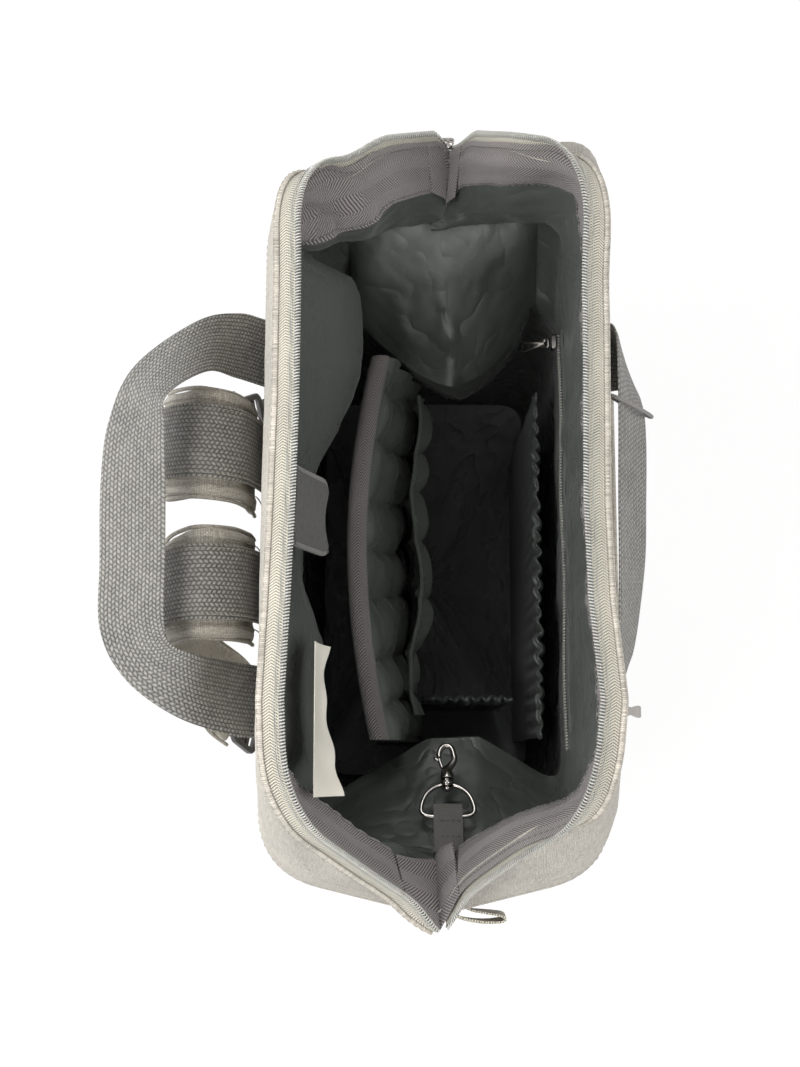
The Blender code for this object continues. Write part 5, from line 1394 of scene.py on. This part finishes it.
def strap(side, word):
    """A padded strap with its piping, webbing and seams, its ladder lock and lower webbing."""
    path, run, across, out = strap_lines(side)
    s = lengths(path)
    turns = np.linspace(0, 2 * math.pi, 28, endpoint=False)
    c, d = np.cos(turns), np.sin(turns)
    rings = []
    for i in range(0, len(path), 2):
        t = s[i] / s[-1]
        end = min(1.0, 0.55 + 8 * min(t, 1 - t))
        pulled = 1 + 0.02 * math.sin(s[i] * 130)
        x = np.sign(c) * np.abs(c) ** 0.45 * 0.0295 * pulled
        h = np.sign(d) * np.abs(d) ** 0.6 * (0.0032 + 0.0020 * bump(np.abs(x), 0.0255, 0.0045)) * end
        rings.append(path[i] + across[i] * x[:, None] + out[i] * h[:, None])
    pad = loft(f"strap_pad_{word}_cloth", rings, "outer")
    puff(pad, 0.0018, 3.0)

    def measured(co):
        """Each point's nearest row of the strap, and its place along, across and out from it."""
        near = np.array([np.argmin(((path - p) ** 2).sum(1)) for p in co])
        return near, *(((co - path[near]) * axis[near]).sum(1) for axis in (run, across, out))

    co = points_of(pad)
    near, _, x, h = measured(co)
    sink = 0.0012 * bump(np.abs(x), 0.0218, 0.0016) + 0.0008 * bump(np.abs(x), 0.0, 0.012)
    edge = 0.0007 * noisy(co, 130, 3) * smooth((np.abs(x) - 0.018) / 0.008)
    co = co + out[near] * (np.sign(h) * (edge - sink))[:, None]
    pad.data.vertices.foreach_set("co", co.ravel())
    pad.data.update()
    near, ahead, x, _ = measured(points_of(pad))
    set_uv(pad.data, np.column_stack([s[near] + ahead, x]))
    pad.data.materials.clear()
    pad.data.materials.append(FINISH["outer"])
    place(pad, "bag", f"strap_pad_{word}")
    sides = (("in", -across), ("out", across))
    for which, aside in sides:
        tube(f"strap_piping_{word}_{which}", path + aside * 0.0300, 0.0012, "outer", "bag")
        stitches(f"strap_seam_{word}_{which}", *along(path + aside * 0.0232 + out * 0.0038, out), "bag")
    mid = path + out * LIFT
    E1, E2 = mid - across * 0.020, mid + across * 0.020
    ribbon(f"strap_webbing_{word}_band", E1, E2, 0.0018, "bag", f"strap_webbing_{word}", cells=14, N=out)
    for which, aside in sides:
        line = mid + aside * 0.0178 + out * 0.0011
        web_stitches(f"strap_webbing_seam_{word}_{which}", *along(line, out), "bag", 0.0036)
    x = side * 0.125
    seat = arr((x, 0, 0.048), (x, 0, 0.037), (x, 0, 0.024))
    wall = [wall_y(x, z, 1) for z in seat[:, 2]]
    seat[:, 1] = np.maximum(wall, 0.088) + np.array([0.0025, 0.0013, 0.0013])
    toward = unit(seat[0] - path[-1])
    middle = path[-1] + toward * (0.015 + 0.001)
    axes = frame_axes(middle, toward, np.cross(np.array([1.0, 0, 0]) - toward * toward[0], toward))
    ladder_lock(f"strap_lock_{word}", axes, f"strap_buckle_{word}")
    start = middle + toward * (0.015 - 0.004)
    line = curve(np.vstack([start, start + (seat[0] - start) * 0.5, seat]), 10)
    run = unit(np.gradient(line, axis=0))
    wide = unit(np.array([1.0, 0, 0]) - run * run[:, :1]) * 0.019
    node = f"lower_webbing_{word}"
    ribbon(node + "_band", line - wide, line + wide, 0.0017, "bag", node, cells=12)
    for k, z in enumerate((0.0455, 0.0385, 0.0275)):
        y = max(wall_y(x, z, 1), 0.088) + 0.0026
        ends = arr((x - 0.016, y, z), (x + 0.016, y, z))
        web_stitches(f"lower_stitch_{word}_{k}", resample(ends, 12), (0, 1, 0), "bag")


SQUARE = arr((-1, -0.7), (-0.7, -1), (0.7, -1), (1, -0.7), (1, 0.7), (0.7, 1), (-0.7, 1), (-1, 0.7))


def ladder_lock(name, axes, replaces):
    """A moulded buckle: a rounded frame with two bars across it."""
    wide, high = SQUARE.T[:, :, None]
    path = curve([(x, y, 0) for x, y in rounded(-0.0128, 0.0128, -0.0228, 0.0228, 0.004, 4)], 2)
    path = resample(np.vstack([path, path[:1]]), 70)[:-1]
    S, U = frames(path, True, np.array([0, 0, 1.0]))
    rings = [within(axes, p + s * 0.0021 * wide + u * 0.0019 * high) for p, s, u in zip(path, S, U)]
    loft(name, rings, "plastic", "bag", replaces, closed=True)
    half, thick = 0.0215, 0.0030
    for k, (x, width, lift) in enumerate(((-0.0015, 0.0052, 0.0004), (0.0035, 0.0030, -0.0004))):
        rings = []
        for y in np.linspace(-half, half, 15):
            sweep = 0.0008 * (1 - (y / half) ** 2)
            ring = [(x + a * width / 2, y, lift + b * thick / 2 + sweep) for a, b in SQUARE]
            rings.append(within(axes, ring))
        loft(f"{name}_bar_{k}", rings, "plastic", "bag")


strap(1, "right")
strap(-1, "left")


# Outer pockets
def wall_strip(low, high, rows, first, last):
    """Rows of the shell's outline between two of its points, counted from the right end."""
    zs = np.linspace(low, high, rows)
    loops = [np.roll(whole_loop(body_section(z), CORNER), -first, 0) for z in zs]
    return np.array([loop[: last - first + 1] for loop in loops]), zs


def front_pocket():
    low, high = 0.018, 0.205
    P, zs = wall_strip(low, high, 60, 23, 73)
    s = lengths(P[0])
    S, T = np.meshgrid(s, (zs - low) / (high - low))
    side = smooth(np.minimum(S, s[-1] - S) / 0.034)
    rise = smooth(np.minimum(T / 0.12, (1 - T) / 0.22))
    x = P[..., 0]
    N = unit(np.stack([(x - np.clip(x, -0.13, 0.13)) * 30, x * 0 - 1, x * 0], -1))
    off = 0.0024 + (0.0255 - 0.0045 * T) * side * rise
    wrinkle = 0.0016 * noisy(P, 26, 21) + 0.0007 * noisy(P * [1, 1, 2], 60, 5) - 0.0012
    P = P + N * (off + wrinkle * side * rise)[..., None]
    N = facing(normals(P), ..., 1, -1)
    skin("front_pocket_cloth", P, N, "outer", "bag", "front_pocket")
    edge = P + N * 0.0004
    border = np.vstack([edge[::-1, 0], edge[0, 1:], edge[1:, -1]])
    tube("front_pocket_piping", resample(border), 0.0014, "outer", "bag")


front_pocket()


def pocket_zip():
    """The zip above the front pocket, in line with its solid."""
    low, high = (np.array(corner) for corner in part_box("pocket_zip_tape"))
    half = (high - low)[0] / 2
    up = unit((high - low) * [0, 1, 1])
    out = np.array([0, -up[2], up[1]])
    out = out if out[1] < 0 else -out
    axes = frame_axes((low + high) / 2, (1, 0, 0), out)
    flat_zip("pocket", axes, half, 110, 0.009, 0.0002, (0.0003, 50), 0.0015, 0.0019, "zip_tape")
    for sign, which in ((-1, "low"), (1, "high")):
        hem = [(x, sign * 0.0088, 0.0012) for x in np.linspace(-half - 0.002, half + 0.002, 60)]
        tube(f"pocket_zip_fold_{which}", within(axes, hem), 0.0016, "outer", "bag")
        line = [(x, sign * 0.0076, 0.0011) for x in np.linspace(-half, half, 60)]
        stitches(f"pocket_zip_stitch_{which}", within(axes, line), out, "bag")
    low, high = (np.array(corner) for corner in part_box("pocket_slider"))
    centre = (low + high) / 2
    slide = frame_axes(centre, (-1, 0, 0), out)
    slider_body("pocket_slider_body", (0.009, 0.008, 0.0032), slide, "pocket_slider", "pocket_slider")
    hang = frame_axes(centre + out * (0.0016 + GAP + 0.0008), -up, out)
    puller_plate("pocket_puller_plate", 0.030, 0.008, 0.0016, hang, "pocket_puller")


pocket_zip()


def side_pocket(word, sign, first):
    low, high = 0.012, 0.190
    P, zs = wall_strip(low, high, 50, first, first + 36)
    s = lengths(P[0])
    S, T = np.meshgrid(s / s[-1], (zs - low) / (high - low))
    N = facing(unit(normals(P) * [1, 1, 0]), ..., 0, sign)
    swell = np.sin(np.pi * np.clip(S, 0, 1)) ** 0.6
    off = 0.0021 + 0.024 * swell * smooth(T * 1.4)
    gather = 0.0010 * np.sin(S * 2 * math.pi * 15 + 2 * noisy(P, 20, 3)) * smooth((T - 0.72) / 0.25) * swell
    off = off + gather + 0.0014 * (noisy(P, 24, 17) - 0.6) * swell
    P = P + N * off[..., None]
    N = facing(normals(P), ..., 0, sign)
    skin(f"side_pocket_{word}_cloth", P, N, "outer", "bag", f"side_pocket_{word}", thick=0.0010)
    hem = resample(P[-1] - [0, 0, 0.0012], step=0.002)
    tube(f"side_pocket_hem_{word}", hem, 0.0019, "outer", "bag")
    for row in (6, 9):
        line, up = along(P[-row] + N[-row] * 0.0003, N[-row])
        stitches(f"side_pocket_stitch_{word}_{row}", line, up, "bag", pitch=0.0036)


side_pocket("left", -1, 2 * 48 - 18)
side_pocket("right", 1, 4 * 48 - 18)


def side_loop():
    """A folded fabric loop sewn on edge beside the left zip end."""
    low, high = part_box("side_loop")
    deep, reach = high.x - low.x, high.y - low.y
    plan = ((0.0, 0.34), (0.18, 0.45), (0.30, 0.7), (0.45, 0.93), (0.70, 0.99), (0.92, 0.9))
    plan += ((0.97, 0.6), (0.7, 0.25), (0.1, 0.02))
    zs = np.linspace(-0.0068, 0.0068, 11)
    rows = []
    for i, p in enumerate(curve([(high.x - deep * a, high.y - reach * b) for a, b in plan], 8)):
        x = p[0] + 0.0007 * np.sin(zs * 300 + i * 0.1)
        rows.append(np.column_stack([x, np.full(11, p[1]), (low.z + high.z) / 2 + zs]))
    sheet("side_loop_cloth", np.array(rows), 0.0011, "zip_tape", "bag", "side_loop")


side_loop()


def padding():
    """The foam behind the back panel."""
    P, _ = wall_strip(0.022, 0.285, 30, 120, 168)
    N = np.array([0.0, -1.0, 0.0])
    thick = 0.0048
    N = np.broadcast_to(N, P.shape)
    obj = sheet("back_foam", P + N * thick, thick, "padding", "bag", "back_padding", N=N)


padding()
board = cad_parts["base_board"].data
board.materials.clear()
board.materials.append(FINISH["board"])


# Camera, lights and floor
def camera():
    tilt = math.atan(227.5 / 1400)
    c, s = math.cos(tilt), math.sin(tilt)
    data = bpy.data.cameras.new("camera")
    data.lens = 47.24
    data.sensor_width = 36
    obj = bpy.data.objects.new("camera", data)
    bpy.context.scene.collection.objects.link(obj)
    right, up, back = (0, -1, 0), (c, 0, s), (-s, 0, c)
    turn = Matrix([right, up, back]).transposed().to_4x4()
    obj.matrix_world = Matrix.Translation((-0.132, 0.0185, 1.070)) @ turn
    bpy.context.scene.camera = obj


def lamp(name, at, size, energy, target=(0, 0, 0.25)):
    data = bpy.data.lights.new(name, "AREA")
    data.shape = "DISK"
    data.size = size
    data.energy = energy
    obj = bpy.data.objects.new(name, data)
    obj.location = at
    aim = Vector(target) - Vector(at)
    obj.rotation_euler = aim.to_track_quat("-Z", "Y").to_euler()
    bpy.context.scene.collection.objects.link(obj)


def white_to_camera(tree, surface, out, share):
    """Shows plain white where the camera, metal or glass sees this directly."""
    rays = tree.nodes.new("ShaderNodeLightPath").outputs
    seen = rays["Is Camera Ray"]
    for word in ("Is Glossy Ray", "Is Transmission Ray"):
        most = tree.nodes.new("ShaderNodeMath")
        most.operation = "MAXIMUM"
        tree.links.new(seen, most.inputs[0])
        tree.links.new(rays[word], most.inputs[1])
        seen = most.outputs[0]
    part = tree.nodes.new("ShaderNodeMath")
    part.operation = "MULTIPLY"
    part.inputs[1].default_value = share
    tree.links.new(seen, part.inputs[0])
    kind = "ShaderNodeEmission" if out.bl_idname == "ShaderNodeOutputMaterial" else "ShaderNodeBackground"
    glow = tree.nodes.new(kind)
    glow.inputs[0].default_value = (1, 1, 1, 1)
    glow.inputs["Strength"].default_value = 1.0
    mix = tree.nodes.new("ShaderNodeMixShader")
    tree.links.new(part.outputs[0], mix.inputs[0])
    tree.links.new(surface, mix.inputs[1])
    tree.links.new(glow.outputs[0], mix.inputs[2])
    tree.links.new(mix.outputs[0], out.inputs["Surface"])


def studio():
    scene = bpy.context.scene
    scene.view_settings.view_transform = "Standard"
    world = bpy.data.worlds.new("studio")
    world.use_nodes = True
    scene.world = world
    tree = world.node_tree
    sky = tree.nodes["Background"]
    sky.inputs[0].default_value = (1, 1, 1, 1)
    sky.inputs["Strength"].default_value = 0.20
    white_to_camera(tree, sky.outputs[0], tree.nodes["World Output"], 1.0)
    lamp("back_side", (-0.45, 1.05, 1.65), 1.3, 29)
    lamp("front_side", (-0.35, -0.95, 1.65), 1.1, 23)
    lamp("right_end", (1.4, 0.25, 1.5), 0.9, 10)
    lamp("left_end", (-1.5, 0.0, 1.5), 0.9, 4)
    lamp("back_low", (0.05, 1.25, 0.75), 0.9, 9)
    mesh = bpy.data.meshes.new("floor")
    shape = bmesh.new()
    bmesh.ops.create_grid(shape, x_segments=2, y_segments=2, size=6.0)
    shape.to_mesh(mesh)
    shape.free()
    floor = bpy.data.objects.new("floor", mesh)
    floor.location.z = -0.0005
    scene.collection.objects.link(floor)
    paint = bpy.data.materials.new("floor")
    paint.use_nodes = True
    tree = paint.node_tree
    shader = tree.nodes["Principled BSDF"]
    shader.inputs["Base Color"].default_value = (0.92, 0.92, 0.91, 1)
    shader.inputs["Roughness"].default_value = 0.9
    white_to_camera(tree, shader.outputs[0], tree.nodes["Material Output"], 0.86)
    mesh.materials.append(paint)


camera()
studio()


bpy.context.view_layer.update()
